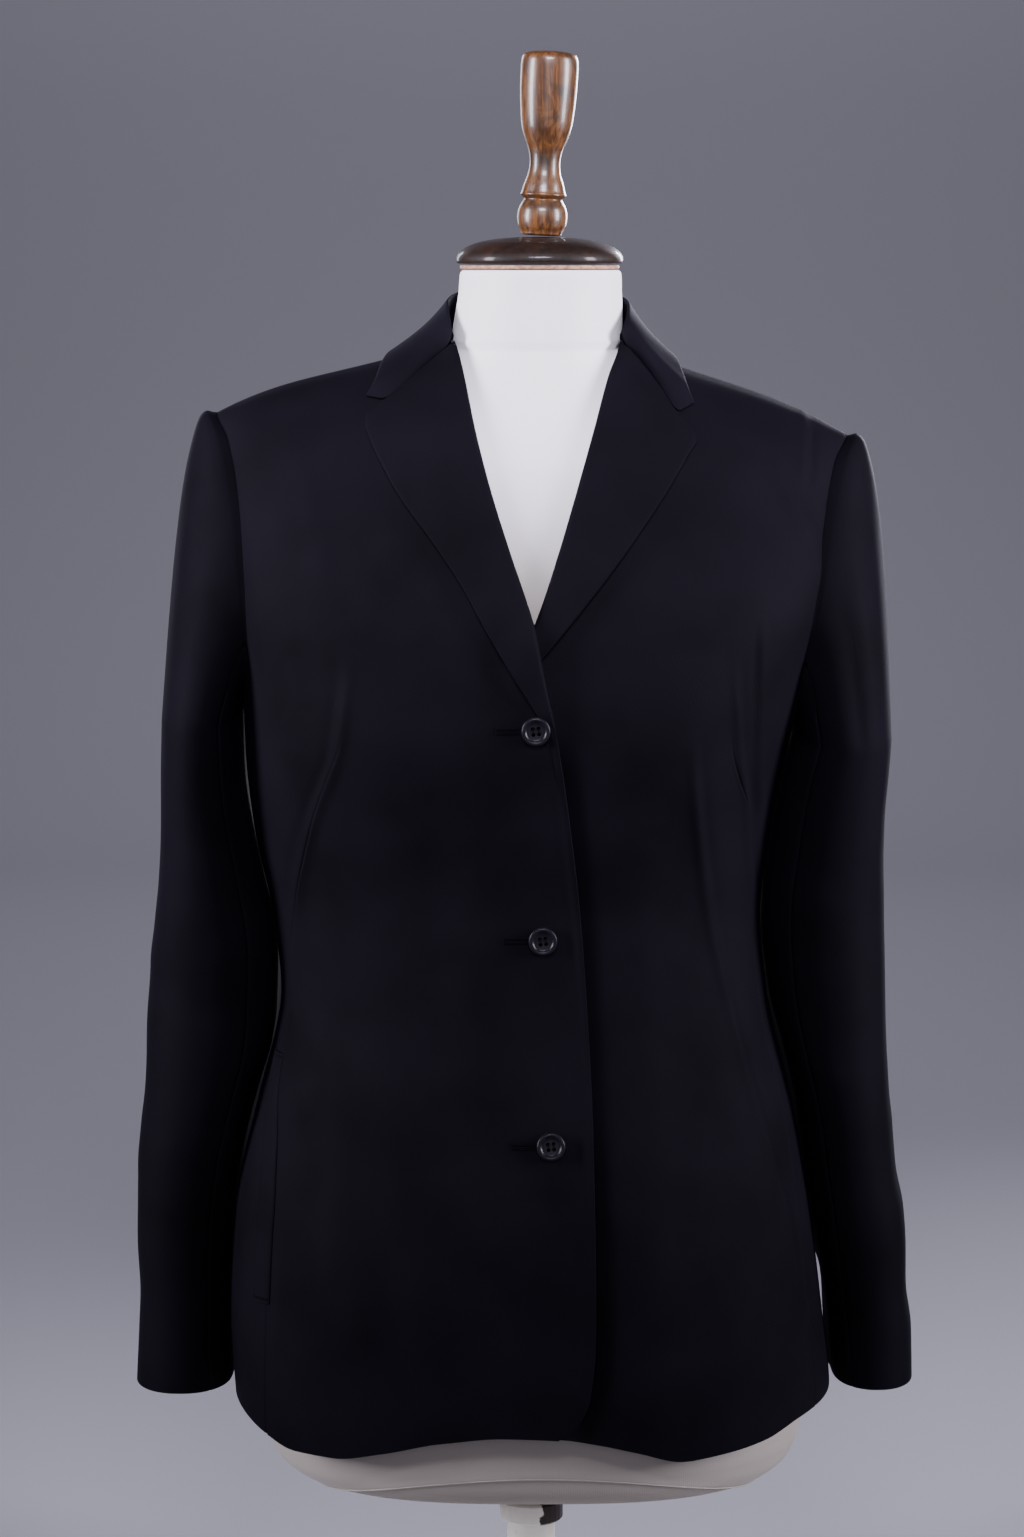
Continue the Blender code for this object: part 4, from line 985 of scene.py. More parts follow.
@dataclass(frozen=True)
class TurnedWood:
    """Hardwood, turned, stained and varnished: long dark grain under a clear coat."""

    name: str
    pale: str
    deep: str
    worn: str
    roughness: float
    coat: float
    # Pores of beech are about 0.1 mm wide, too fine to show, so the grain is drawn at 2.2 mm
    grain_mm: float = 2.2
    stretch: float = 9.0
    gloss: float = 0.35

    def build(self) -> Material:
        """Make the material.

        Returns:
            The material.
        """
        material, tree, shader, body = start_material(self.name)
        long_grain = add_node(tree, "Mapping", {"Scale": (1.0, 1.0, 1 / self.stretch), "Vector": body})
        fine, broad = (
            add_node(
                tree, "TexNoise",
                {"Scale": scale, "Detail": detail, "Distortion": warp, "Vector": at},
            )
            for scale, detail, warp, at in (
                (1 / (self.grain_mm * MM), 6.0, 0.6, long_grain), (55.0, 3.0, 1.2, body)
            )
        )
        streak = add_node(tree, "MapRange", {"From Min": 0.38, "From Max": 0.64, "Value": fine})
        patch = add_node(tree, "MapRange", {"From Min": 0.5, "From Max": 0.72, "Value": broad})
        wood = add_node(tree, "Mix", {"data_type": "RGBA", 0: streak, 6: self.deep, 7: self.pale}, 2)
        stained = add_node(tree, "Mix", {"data_type": "RGBA", 0: patch, 6: wood, 7: self.worn}, 2)
        rough = add_node(
            tree, "MapRange",
            {"To Min": self.roughness, "To Max": self.roughness + 0.18, "Value": broad},
        )
        bump = add_node(tree, "Bump", {"Strength": 0.12, "Distance": 0.3 * MM, "Height": fine})
        fill(
            tree, shader,
            {"Base Color": stained, "Roughness": rough, "Normal": bump,
             "Coat Weight": self.coat, "Coat Roughness": 0.12, "Specular IOR Level": self.gloss},
        )
        return material


@dataclass(frozen=True)
class Enamel:
    """Oil paint brushed on: cream, with dark chips where it has rubbed through high up."""

    name: str
    worn_above_mm: float
    wear: float
    paint: str = "#ddd9d0"
    bare: str = "#5a3a22"
    worn_over_mm: float = 26.0

    def build(self) -> Material:
        """Make the material.

        Returns:
            The material.
        """
        material, tree, shader, body = start_material(self.name)
        chips = add_node(
            tree, "TexNoise", {"Scale": 90.0, "Detail": 5.0, "Distortion": 0.8, "Vector": body}
        )
        across, level = (add_node(tree, "SeparateXYZ", {0: body}, way) for way in "XZ")
        rub = add_node(
            tree, "MapRange",
            {"From Min": self.worn_above_mm * MM,
             "From Max": (self.worn_above_mm + self.worn_over_mm) * MM,
             "To Max": self.wear, "Value": level},
        )
        one_side = add_node(
            tree, "MapRange", {"From Min": 1 * MM, "From Max": 11 * MM, "Value": across}
        )
        here = add_node(tree, "Math", {"operation": "MULTIPLY", 0: rub, 1: one_side})
        both = add_node(tree, "Math", {"operation": "ADD", 0: here, 1: chips})
        share = add_node(tree, "MapRange", {"From Min": 0.72, "From Max": 0.8, "Value": both})
        tint = add_node(tree, "Mix", {"data_type": "RGBA", 0: share, 6: self.paint, 7: self.bare}, 2)
        bump = add_node(
            tree, "Bump", {"Strength": 0.2, "Distance": 0.4 * MM, "invert": True, "Height": share}
        )
        fill(tree, shader, {"Base Color": tint, "Normal": bump, "Roughness": 0.42})
        return material


@dataclass(frozen=True)
class Moulded:
    """Polyester or steel with fine mottling: moulded, blackened or spun, and nearly black."""

    name: str
    colour: str
    fleck: str
    roughness: float
    metallic: float = 0.0
    gloss: float = 0.5
    grit_mm: float = 1.5

    def build(self) -> Material:
        """Make the material.

        Returns:
            The material.
        """
        material, tree, shader, body = start_material(self.name)
        grit = add_node(
            tree, "TexNoise", {"Scale": 1 / (self.grit_mm * MM), "Detail": 3.0, "Vector": body}
        )
        tint = add_node(tree, "Mix", {"data_type": "RGBA", 0: grit, 6: self.colour, 7: self.fleck}, 2)
        rough = add_node(
            tree, "MapRange",
            {"To Min": self.roughness * 0.8, "To Max": self.roughness * 1.3, "Value": grit},
        )
        fill(
            tree, shader,
            {"Base Color": tint, "Roughness": rough, "Metallic": self.metallic,
             "Specular IOR Level": self.gloss},
        )
        return material


@dataclass(frozen=True)
class Finishes:
    """Every material of the blazer, the form and the stand."""

    suiting: Suiting = Suiting()
    lapel: Suiting = Suiting("worsted_wool_twill_pressed_lapel")
    # Painted light and shade: the collar's copy of the suiting is painted a little lighter and the
    # sleeves' a little darker, though all are the same cloth
    collar: Suiting = Suiting("worsted_wool_twill_pressed_collar", "#0b090e", "#110f16")
    sleeve: Suiting = Suiting("worsted_wool_twill_woven_sleeve", "#08070a", "#0d0b11")
    welt: Suiting = Suiting("worsted_wool_twill_pressed_welt")
    jersey: Jersey = Jersey()
    finial: TurnedWood = TurnedWood(
        "beech_turned_varnished", "#5f3b1c", "#351d0b", "#231405", 0.3, 0.3
    )
    cap: TurnedWood = TurnedWood(
        "beech_turned_stained_dark", "#1c0d07", "#0d0603", "#26150c", 0.5, 0.2, gloss=0.2
    )
    disc: TurnedWood = TurnedWood(
        "birch_plywood_sawn", "#b08a70", "#7c5a48", "#94705c", 0.6, 0.0, 3.0, 1.0
    )
    pole: Enamel = Enamel("oil_enamel_on_beech_pole", 104.0, 0.9)
    clamp: Enamel = Enamel("oil_enamel_on_steel_clamp", 96.0, 1.0, bare="#21150d")
    base: Enamel = Enamel("oil_enamel_on_beech_foot", 900.0, 0.0)
    button: Moulded = Moulded("polyester_resin_moulded", "#0d0a10", "#141018", 0.3, gloss=0.12)
    steel: Moulded = Moulded("steel_blackened", "#2a2725", "#1a1716", 0.42, 0.9)
    thread: Moulded = Moulded(
        "polyester_thread_spun", "#0a080c", "#0f0d13", 0.85, gloss=0.02, grit_mm=0.3
    )


@cache
def material_of(finish: str) -> Material:
    """Make the material of a finish, once."""
    return getattr(Finishes(), finish).build()


# ---- pieces


def settle(piece: Thing, finish: str, slot: str, node: str = "") -> None:
    """Dress a piece, fix it to the frame and report it.

    Args:
        piece: The piece to dress.
        finish: The name of its finish.
        slot: The record's slot of the piece, not used.
        node: The solid that it stands for, if any.
    """
    piece.data.materials.clear()
    piece.data.materials.append(material_of(finish))
    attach(piece, "root")
    if node:
        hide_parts(node)
    LOG.info("%s: %d faces, %s", piece.name, len(piece.data.polygons), finish)


def tuck(grid: Points, normals: Points, edges: str, depth: float, width: float) -> Points:
    """Turn a panel's sewn edges in towards the body.

    Args:
        grid: The panel's outer points.
        normals: Their normals.
        edges: Which edges are sewn, of first and last row and column: r R c C.
        depth: How far an edge goes in.
        width: How far from the edge the cloth starts to turn.

    Returns:
        The moved points.
    """
    along, up = np.moveaxis(lengths(grid), -1, 0)
    gaps = {"c": along, "C": along[:, -1:] - along, "r": up, "R": up[-1:] - up}
    fall = np.zeros(grid.shape[:2])
    for edge in edges:
        fall = np.maximum(fall, np.exp(-((gaps[edge] / width) ** 1.5)))
    return grid - normals * (depth * fall)[..., None]


def both_ends(count: int, power: float = 1.0) -> Points:
    """Shares from 0 to 1 that crowd at both ends."""
    share = np.linspace(0, 1, count)
    return share * (1 - power) + (0.5 - 0.5 * np.cos(np.pi * share)) * power


@dataclass(frozen=True)
class Panel:
    """A body panel: one front or one back of the blazer."""

    body: Body
    side: Side
    face: Face
    rows_below: int = 140
    rows_above: int = 100
    # The pressed seam: where it starts to fade and over how much, the depth of its valley,
    # the rise and place in degrees of the lap beside it, and the half width of both
    seam_top: float = 640.0
    seam_fade: float = 34.0
    seam_depth: float = 0.7
    lap_rise: float = 0.3
    lap_at: float = -0.66
    seam_half: float = 0.34
    # Half of the band of close columns over the seam, in degrees
    near: float = 1.2
    roll_setback: float = 4.3
    back_hem: float = 199.0
    neck_rise: float = 3.0
    # The line that the right lapel's roll runs out along, and its rise there
    roll_line: Table = Table(
        ("height", "across"),
        ((600, 15.4), (610, 12.6), (618, 11.3), (630, 9.6), (638, 7.8), (647, 4)),
    )
    roll_rise: float = 1.1
    # Cut of a front 330 x 710 mm, of a back 260 x 700 mm
    front_cut: Triple = (0.33, 0.71, 0.158)
    back_cut: Triple = (0.26, 0.70, 0.146)

    def columns(self) -> tuple[Points, Points]:
        """Blocks and shares of the panel's columns.

        Returns:
            The blocks, 1 over the front's seam, and the shares.
        """
        if self.face is Face.BACK:
            shares = both_ends(72, 0.8)
            return np.zeros(len(shares)), shares
        first = both_ends(96, 0.6)[:-1]
        ridge = np.array([-1, -0.6, -0.32, -0.14, 0, 0.14, 0.32, 0.6, 1.0]) * self.near
        last = both_ends(46, 0.7)[1:]
        blocks = np.repeat([0, 1, 2], [len(first), len(ridge), len(last)])
        return blocks, np.concatenate([first, ridge, last])

    def turns(self, height: Points) -> Points:
        """Angle round the body of every column at heights of one row.

        Args:
            height: A height for each column.

        Returns:
            Angles in radians.
        """
        body, side = self.body, self.side
        blocks, shares = self.columns()
        sign = side.value
        bottom = side.of(body.armhole_bottom)
        end = np.where(height > bottom, body.armhole_turn(side, height, self.face), sign * np.pi / 2)
        if self.face is Face.BACK:
            tip = side.of(body.armhole_tip)
            top = np.abs(body.turn_at(sign * tip * shares, np.maximum(height, 700.0)))
            top = np.minimum(top, np.abs(end)) * sign
            near_top = ease((height - 700) / 130)
            return sign * 1e-5 + end * shares * (1 - near_top) + top * near_top
        back = ease((height - side.of(body.break_height)) / 12) * self.roll_setback
        start = body.turn_at(body.edge.read(side.word, height) + sign * back, height)
        seam = body.seam_turn(side, height)
        near = sign * math.radians(self.near)
        first = start + (seam - near - start) * shares
        middle = seam + sign * np.radians(shares)
        last = seam + near + (end - seam - near) * shares
        return np.where(blocks == 0, first, np.where(blocks == 1, middle, last))

    def top_of(self, across: Points) -> Points:
        """Height of the panel's top edge.

        Args:
            across: Places from the middle.

        Returns:
            The heights.
        """
        top = self.body.ridge(across)
        if self.face is Face.BACK:
            inside = np.maximum(0, 1 - (np.abs(across) / self.body.neck_radius) ** 2)
            top = top + self.neck_rise * inside
        return top

    def grid(self) -> Points:
        """Outer points of the panel, from the hem to the shoulder seam.

        Returns:
            Rows of points.
        """
        body, side = self.body, self.side
        count = len(self.columns()[1])
        place = np.linspace(0, 1, count)
        if self.face is Face.FRONT:
            hems = np.full(count, 200.0)
            for _ in range(14):
                hems = body.hem.read("height", body.point(self.turns(hems), hems, self.face)[:, 0])
            start = side.of(body.break_height)
        else:
            side_hem = body.hem.read("height", side.value * 190)
            hems = self.back_hem + (side_hem - self.back_hem) * place**3
            start = side.of(body.armhole_bottom)
        tops = np.full(count, 850.0)
        for _ in range(30):
            across = body.point(self.turns(tops), tops, self.face)[:, 0]
            tops = 0.5 * tops + 0.5 * self.top_of(across)
        middles = start + (side.of(body.armhole_bottom) - start) * place
        low = np.linspace(0, 1, self.rows_below)
        high = 1 - (1 - np.linspace(0, 1, self.rows_above + 1)[1:]) ** 1.6
        heights = [hems + share * (middles - hems) for share in low]
        heights += [middles + share * (tops - middles) for share in high]
        return np.array([body.point(self.turns(level), level, self.face) for level in heights])

    def shaped(self) -> tuple[Points, Points]:
        """Outer points with folds, seams and creases, and their normals.

        Returns:
            The points and the normals.
        """
        grid = self.grid()
        across, height = grid[..., 0].copy(), grid[..., 2].copy()
        gap = self.body.seam_gap / 2
        if self.face is Face.FRONT:
            for drape in DRAPES[self.side]:
                grid[..., 1] -= drape.lift(across, height)
            if self.side is Side.RIGHT:
                grid[..., 1] -= self.body.overlap(across, height)
            grid[-1, :, 1] = np.minimum(grid[-1, :, 1], -gap)
        else:
            grid[-1, :, 1] = np.maximum(grid[-1, :, 1], gap)
            grid[:, 0, 0] = self.side.value * gap
        grid[: self.rows_below, -1, 1] += self.face.value * gap
        outward = grid.copy()
        outward[..., 2] = np.maximum(0, grid[..., 2] - 780) * 3
        normals = normals_of(grid, outward)
        creases = FRONT_CREASES if self.face is Face.FRONT else BACK_CREASES
        lift = sum(crease.lift(across, height) for crease in creases[self.side])
        if self.face is Face.FRONT:
            lift = lift - self.groove(across, height)
            if self.side is Side.RIGHT:
                lift = lift + self.roll_end(across, height)
        grid = grid + normals * lift[..., None]
        normals = normals_of(grid, outward)
        on_ridge = np.abs(grid[-1, :, 0]) > self.body.neck_radius - 1
        normals[-1, on_ridge, 1] = 0
        normals[: self.rows_below, -1, 1] = 0
        if self.face is Face.BACK:
            normals[:, 0, 0] = 0
        return grid, unit(normals)

    def roll_end(self, across: Points, height: Points) -> Points:
        """Rise of the strip where the right lapel's roll runs out into the front's edge.

        Args:
            across: Places from the middle.
            height: Their heights.

        Returns:
            The rise at each.
        """
        line = self.roll_line.read("across", height)
        near = ease((height - 596) / 24) * (1 - ease((height - 641) / 8))
        return self.roll_rise * ease((across - line) / 1.4 + 0.5) * near

    def groove(self, across: Points, height: Points) -> Points:
        """Depth of the pressed dart and seam, fading out at the bust point.

        Args:
            across: Places from the middle.
            height: Their heights.

        Returns:
            The depth at each.
        """
        blocks, shares = self.columns()
        off = np.where(blocks == 1, shares, 9.0)[None, :]
        lying = ease((self.seam_top - height) / self.seam_fade)
        valley = self.seam_depth * np.exp(-((off / self.seam_half) ** 2))
        lap = self.lap_rise * np.exp(-(((off - self.lap_at) / self.seam_half) ** 2))
        return (valley - lap) * lying

    def build(self) -> None:
        """Make the panel."""
        grid, normals = self.shaped()
        inner = grid - self.body.cloth * normals
        outer = tuck(grid, normals, "RC" if self.face is Face.FRONT else "RCc", 1.0, 1.6)
        name = f"{self.face.word}_{self.side.word}"
        piece = make_cloth(f"{name}_cloth", outer, inner)
        settle(piece, "suiting", "navy_suiting", name)
        width, length, area = self.front_cut if self.face is Face.FRONT else self.back_cut


# Shares across a lapel or a collar leaf from the roll to the outer edge
FALLS = (0, 0.07, 0.2, 0.4, 0.6, 0.75, 0.9, 1.0)
GORGE = Table(
    ("share", "right_across", "right_height", "left_across", "left_height"),
    (
        (0, -50.5, 871, 51.7, 871), (0.25, -64.5, 859.6, 63.5, 860.6), (0.5, -79, 847.4, 74.6, 846.6),
        (0.75, -92.6, 836, 85.7, 828.3), (1, -107.1, 825.2, 98.8, 812.5),
    ),
)


@dataclass(frozen=True)
class Revers:
    """What lapel and collar share: where they meet and how they lie on the fronts."""

    body: Body
    clear: float = 0.95
    gorge_clear: float = 1.5

    def gorge(self, side: Side, fall: float) -> Points:
        """Across and height of the seam between lapel and collar."""
        word = side.word
        return np.array([GORGE.read(f"{word}_{k}", fall) for k in ("across", "height")])

    def front(self, side: Side, across: float, height: float) -> Points:
        """The front's surface with the folds that the solids have.

        Args:
            side: Which front.
            across: Place from the middle.
            height: Its height.

        Returns:
            The point.
        """
        point = self.body.front_at(across, height)
        flat = np.array(across, float), np.array(height, float)
        point[1] -= sum(drape.lift(*flat) for drape in DRAPES[side])
        if side is Side.RIGHT:
            point[1] -= self.body.overlap(across, height)
        return point

    def lying(self, side: Side, place: Points, out: float, roll_out: float) -> Points:
        """A point over a front at a distance out, never further back than the roll.

        Args:
            side: Which front.
            place: Across and height.
            out: Distance from the front.
            roll_out: How far out the roll stands.

        Returns:
            The point.
        """
        point = self.front(side, place[0], place[1])
        point[1] = min(point[1], roll_out) - out
        return point

    def gorge_roll(self, side: Side) -> float:
        """How far out the roll stands where the gorge meets it."""
        return self.body.front_at(*self.gorge(side, 0))[1]


@dataclass(frozen=True)
class Lapel:
    """A lapel that rolls over the front's edge and lies open on the front."""

    revers: Revers
    side: Side
    edge: Table = Table(
        ("share", "right_across", "right_height", "left_across", "left_height"),
        (
            (-0.075, 8.2, 636.6, -8, 672), (0, -0.8, 651.6, -0.5, 680), (0.12, -10.2, 667, 9, 691),
            (0.25, -28, 696, 24, 709), (0.4, -46, 728, 44, 734), (0.55, -64, 754, 61, 757),
            (0.72, -83, 779, 80, 784), (0.88, -97.5, 804, 93, 804.5), (1, -107.1, 825.2, 98.8, 812.5),
        ),
    )
    foot: Pair = (653.0, 699.5)
    hook_start: Pair = (683.0, 690.0)
    top_height: float = 871.0
    cloth: float = 2.3
    belly: float = 2.2
    rings: int = 96
    # How far the outer edge stands off the front
    edge_stand: Pair = (0.3, 1.2)
    tip_round: float = 3.2
    # Cut of a lapel with its roll: 78 x 215 mm
    cut: Triple = (0.078, 0.215, 0.0105)

    def line(self, share: float) -> tuple[Points, float]:
        """Across and height of one row from roll to edge, and how near the gorge it is.

        Args:
            share: The row's share up the lapel.

        Returns:
            The line and the nearness.
        """
        word, body = self.side.word, self.revers.body
        foot = self.side.of(self.foot)
        height = foot + (self.top_height - foot) * share
        roll = np.array([body.edge.read(word, height), height])
        edge = np.array([self.edge.read(f"{word}_{k}", share) for k in ("across", "height")])
        tip = ease((share - 0.955) / 0.045) ** 2 * self.tip_round
        edge += (roll - edge) * tip / max(1.0, norm(roll - edge))
        falls = np.array(FALLS)[:, None]
        gorge = np.array([self.revers.gorge(self.side, fall) for fall in FALLS])
        sag = gorge - gorge[0] - (gorge[-1] - gorge[0]) * falls
        near = ease((share - 0.8) / 0.2)
        line = roll + (edge - roll) * falls + sag * near
        line[:, 1] -= body.seam_gap * 0.2 * near
        return line, near

    def ring(self, share: float) -> Points:
        """Closed section of the lapel at one row.

        Args:
            share: The row's share up the lapel.

        Returns:
            Points in order.
        """
        revers, side = self.revers, self.side
        line, near = self.line(share)
        width = norm(line[-1] - line[0])
        roll_out = revers.front(side, *line[0])[1]
        clear = revers.clear
        stand = side.of(self.edge_stand) * ease(share / 0.1) * (1 - near)
        run_out = ease(1 + share / 0.075)
        top, under = [], []
        for fall, place in zip(FALLS, line):
            belly = self.belly * math.sin(math.pi * fall**0.8) * min(1, width / 60) * (1 - near)
            low = clear + belly + stand * fall**5 + (revers.gorge_clear - clear) * near
            high = low + self.cloth
            if fall == 0:
                high = 1.5
            if fall == FALLS[1]:
                high = 0.86 * high + 0.4
            top.append(revers.lying(side, place, high * run_out, roll_out))
            under.append(revers.lying(side, place, low * run_out - 1 + run_out, roll_out))
        hooked = ease((line[0][1] - side.of(self.hook_start)) / 8)
        reach = min(3.0, 0.3 * width)
        run = (line[-1] - line[0]) / width
        depth = hooked * revers.body.cloth * 0.9 - (1 - hooked) * clear * 0.99
        nose = 0.4 * hooked - (1 - hooked) * (clear + 0.25)
        back = [
            revers.lying(side, line[0] + run * reach * share, out, roll_out)
            for share, out in ((1, clear), (0.98, -depth), (0.4, -depth), (0, -nose))
        ]
        return np.array(top + under[:1:-1] + back)

    def build(self) -> None:
        """Make the lapel."""
        foot = -0.07 if self.side is Side.RIGHT else 0.0
        rings = [self.ring(share) for share in np.linspace(foot, 1, self.rings)]
        rings += end_caps(rings[-1], 15, 0.4)
        rounded = np.array([round_ring(ring) for ring in rings])
        name = f"lapel_{self.side.word}"
        piece = make_tube(f"{name}_cloth", rounded)
        settle(piece, "lapel", "navy_suiting_lapel", name)
        width, length, area = self.cut


COLLAR_LINES = ("seam", "roll", "edge")
COLLAR_SIZES = ("turn", "radius", "height")
COLLAR_COLUMNS = ("station", *(f"{line}_{k}" for line in COLLAR_LINES for k in COLLAR_SIZES))


@dataclass(frozen=True)
class Collar:
    """A folded band: stand up from the neck seam, roll, and leaf down to the shoulders."""

    revers: Revers
    half: tuple[Table, Table] = (
        Table(
            COLLAR_COLUMNS,
            (
                (0, -23.8, 58.2, 871, -32.2, 61.9, 875.5, -24.4, 114.8, 838),
                (0.1, -14.1, 57.4, 871.2, -22, 58.7, 884, -19.4, 105.8, 848),
                (0.25, 4, 57.4, 871.2, 0, 55.8, 894, 2.4, 90.5, 864),
                (0.38, 45, 57.5, 872.2, 43, 56.8, 902, 44, 80, 861.5),
                (0.5, 90, 57.6, 873.8, 90, 58.2, 906, 90, 75, 857),
            ),
        ),
        Table(
            COLLAR_COLUMNS,
            (
                (0, -23.8, 58.2, 871, -31.9, 62.4, 875.5, -26.9, 108.3, 833.5),
                (0.1, -13.9, 58.1, 871.2, -21.3, 60.6, 884, -17.6, 97.2, 847),
                (0.25, 4, 58.1, 871.2, 0, 58.3, 893, 2.5, 85, 862.4),
                (0.38, 45, 57.8, 872.2, 43, 58.3, 901, 44, 78.6, 860.5),
                (0.5, 90, 57.6, 873.8, 90, 58.2, 906, 90, 75, 857),
            ),
        ),
    )
    cloth: float = 2.2
    belly: float = -1.4
    notch_at: float = 0.75
    rings: int = 56
    # Cut of the collar: 85 x 330 mm
    cut: Triple = (0.085, 0.33, 0.0215)

    def key(self, side: Side, station: float, name: str) -> Points:
        """A point of the neck seam, roll or leaf edge at a station.

        Args:
            side: Which half.
            station: Share along the band.
            name: seam, roll or edge.

        Returns:
            The point.
        """
        table = side.of(self.half)
        turn, radius, height = (table.read(f"{name}_{k}", station) for k in COLLAR_SIZES)
        turn = math.radians(turn)
        return np.array([side.value * radius * math.cos(turn), radius * math.sin(turn), height])

    def leaf(self, side: Side, station: float, near: float) -> tuple[Points, Points]:
        """Outer points of the leaf, and of its underside where it lies on the front.

        Args:
            side: Which half.
            station: Share along the band.
            near: How near the gorge it is.

        Returns:
            Both lines of points.
        """
        revers = self.revers
        roll, edge = self.key(side, station, "roll"), self.key(side, station, "edge")
        outer, lain = [], []
        for fall in FALLS[1:]:
            point = roll + (edge - roll) * fall
            out = point - np.array([0, 0, 800])
            out /= norm(out)
            point = point + out * self.belly * math.sin(math.pi * fall) * (1 - near)
            if near > 0:
                place = revers.gorge(side, min(fall, self.notch_at))
                place[1] += revers.body.seam_gap * 0.2
                far = max(0.0, (fall - self.notch_at) / (1 - self.notch_at))
                place += (edge[[0, 2]] - place) * far
                rest = revers.gorge_clear + self.cloth
                lying = revers.lying(side, place, rest, revers.gorge_roll(side))
                point = point * (1 - near) + lying * near
            outer.append(point)
            lain.append(point + np.array([0, self.cloth, 0]))
        return np.array(outer), np.array(lain)

    def ring(self, side: Side, station: float) -> Points:
        """Closed section of the collar at a station.

        Args:
            side: Which half.
            station: Share along the band.

        Returns:
            Points in order.
        """
        seam, roll = self.key(side, station, "seam"), self.key(side, station, "roll")
        near = 1 - ease(station / 0.08)
        leaf, lain = self.leaf(side, station, near)
        tangent = leaf[-1] - leaf[0]
        tangent /= norm(tangent)
        along = np.array([1.0, 0.0, 0.0])
        if station < 0.5:
            along = self.key(side, min(0.5, station + 0.02), "edge")
            along = along - self.key(side, max(0, station - 0.02), "edge")
        normal = np.cross(along, tangent)
        normal /= norm(normal)
        if normal @ (leaf[3] - np.array([0, 20, 780])) < 0:
            normal = -normal
        flat = ease(near * 1.5 - 0.4)
        under = (leaf - self.cloth * normal) * (1 - flat) + lain * flat
        inward = np.array([-seam[0], -seam[1], 0.0])
        inward /= norm(inward)
        low = seam + inward * self.revers.body.cloth
        top = roll - normal * self.cloth * 0.2 + inward * 1.6
        middle = 0.5 * (low + top) + inward * 0.2
        crown = roll + normal * 0.9 + inward
        fold = under[0] - tangent * 0.4
        ring = [low, middle, top, crown, *leaf, *under[:0:-1], fold, 0.5 * (seam + fold), seam]
        return np.array(ring)

    def build(self) -> None:
        """Make the collar."""
        stations = 0.5 * (np.linspace(0, 1, self.rings) ** 1.25)
        run = [(Side.RIGHT, s) for s in stations]
        run += [(Side.LEFT, s) for s in stations[-2::-1]]
        rings = [self.ring(*place) for place in run]
        rings = end_caps(rings[0], 21, -0.4)[::-1] + rings + end_caps(rings[-1], 21, -0.4)
        piece = make_tube("collar_cloth", np.array([round_ring(ring) for ring in rings]))
        settle(piece, "collar", "navy_suiting_collar", "collar")
        width, length, area = self.cut


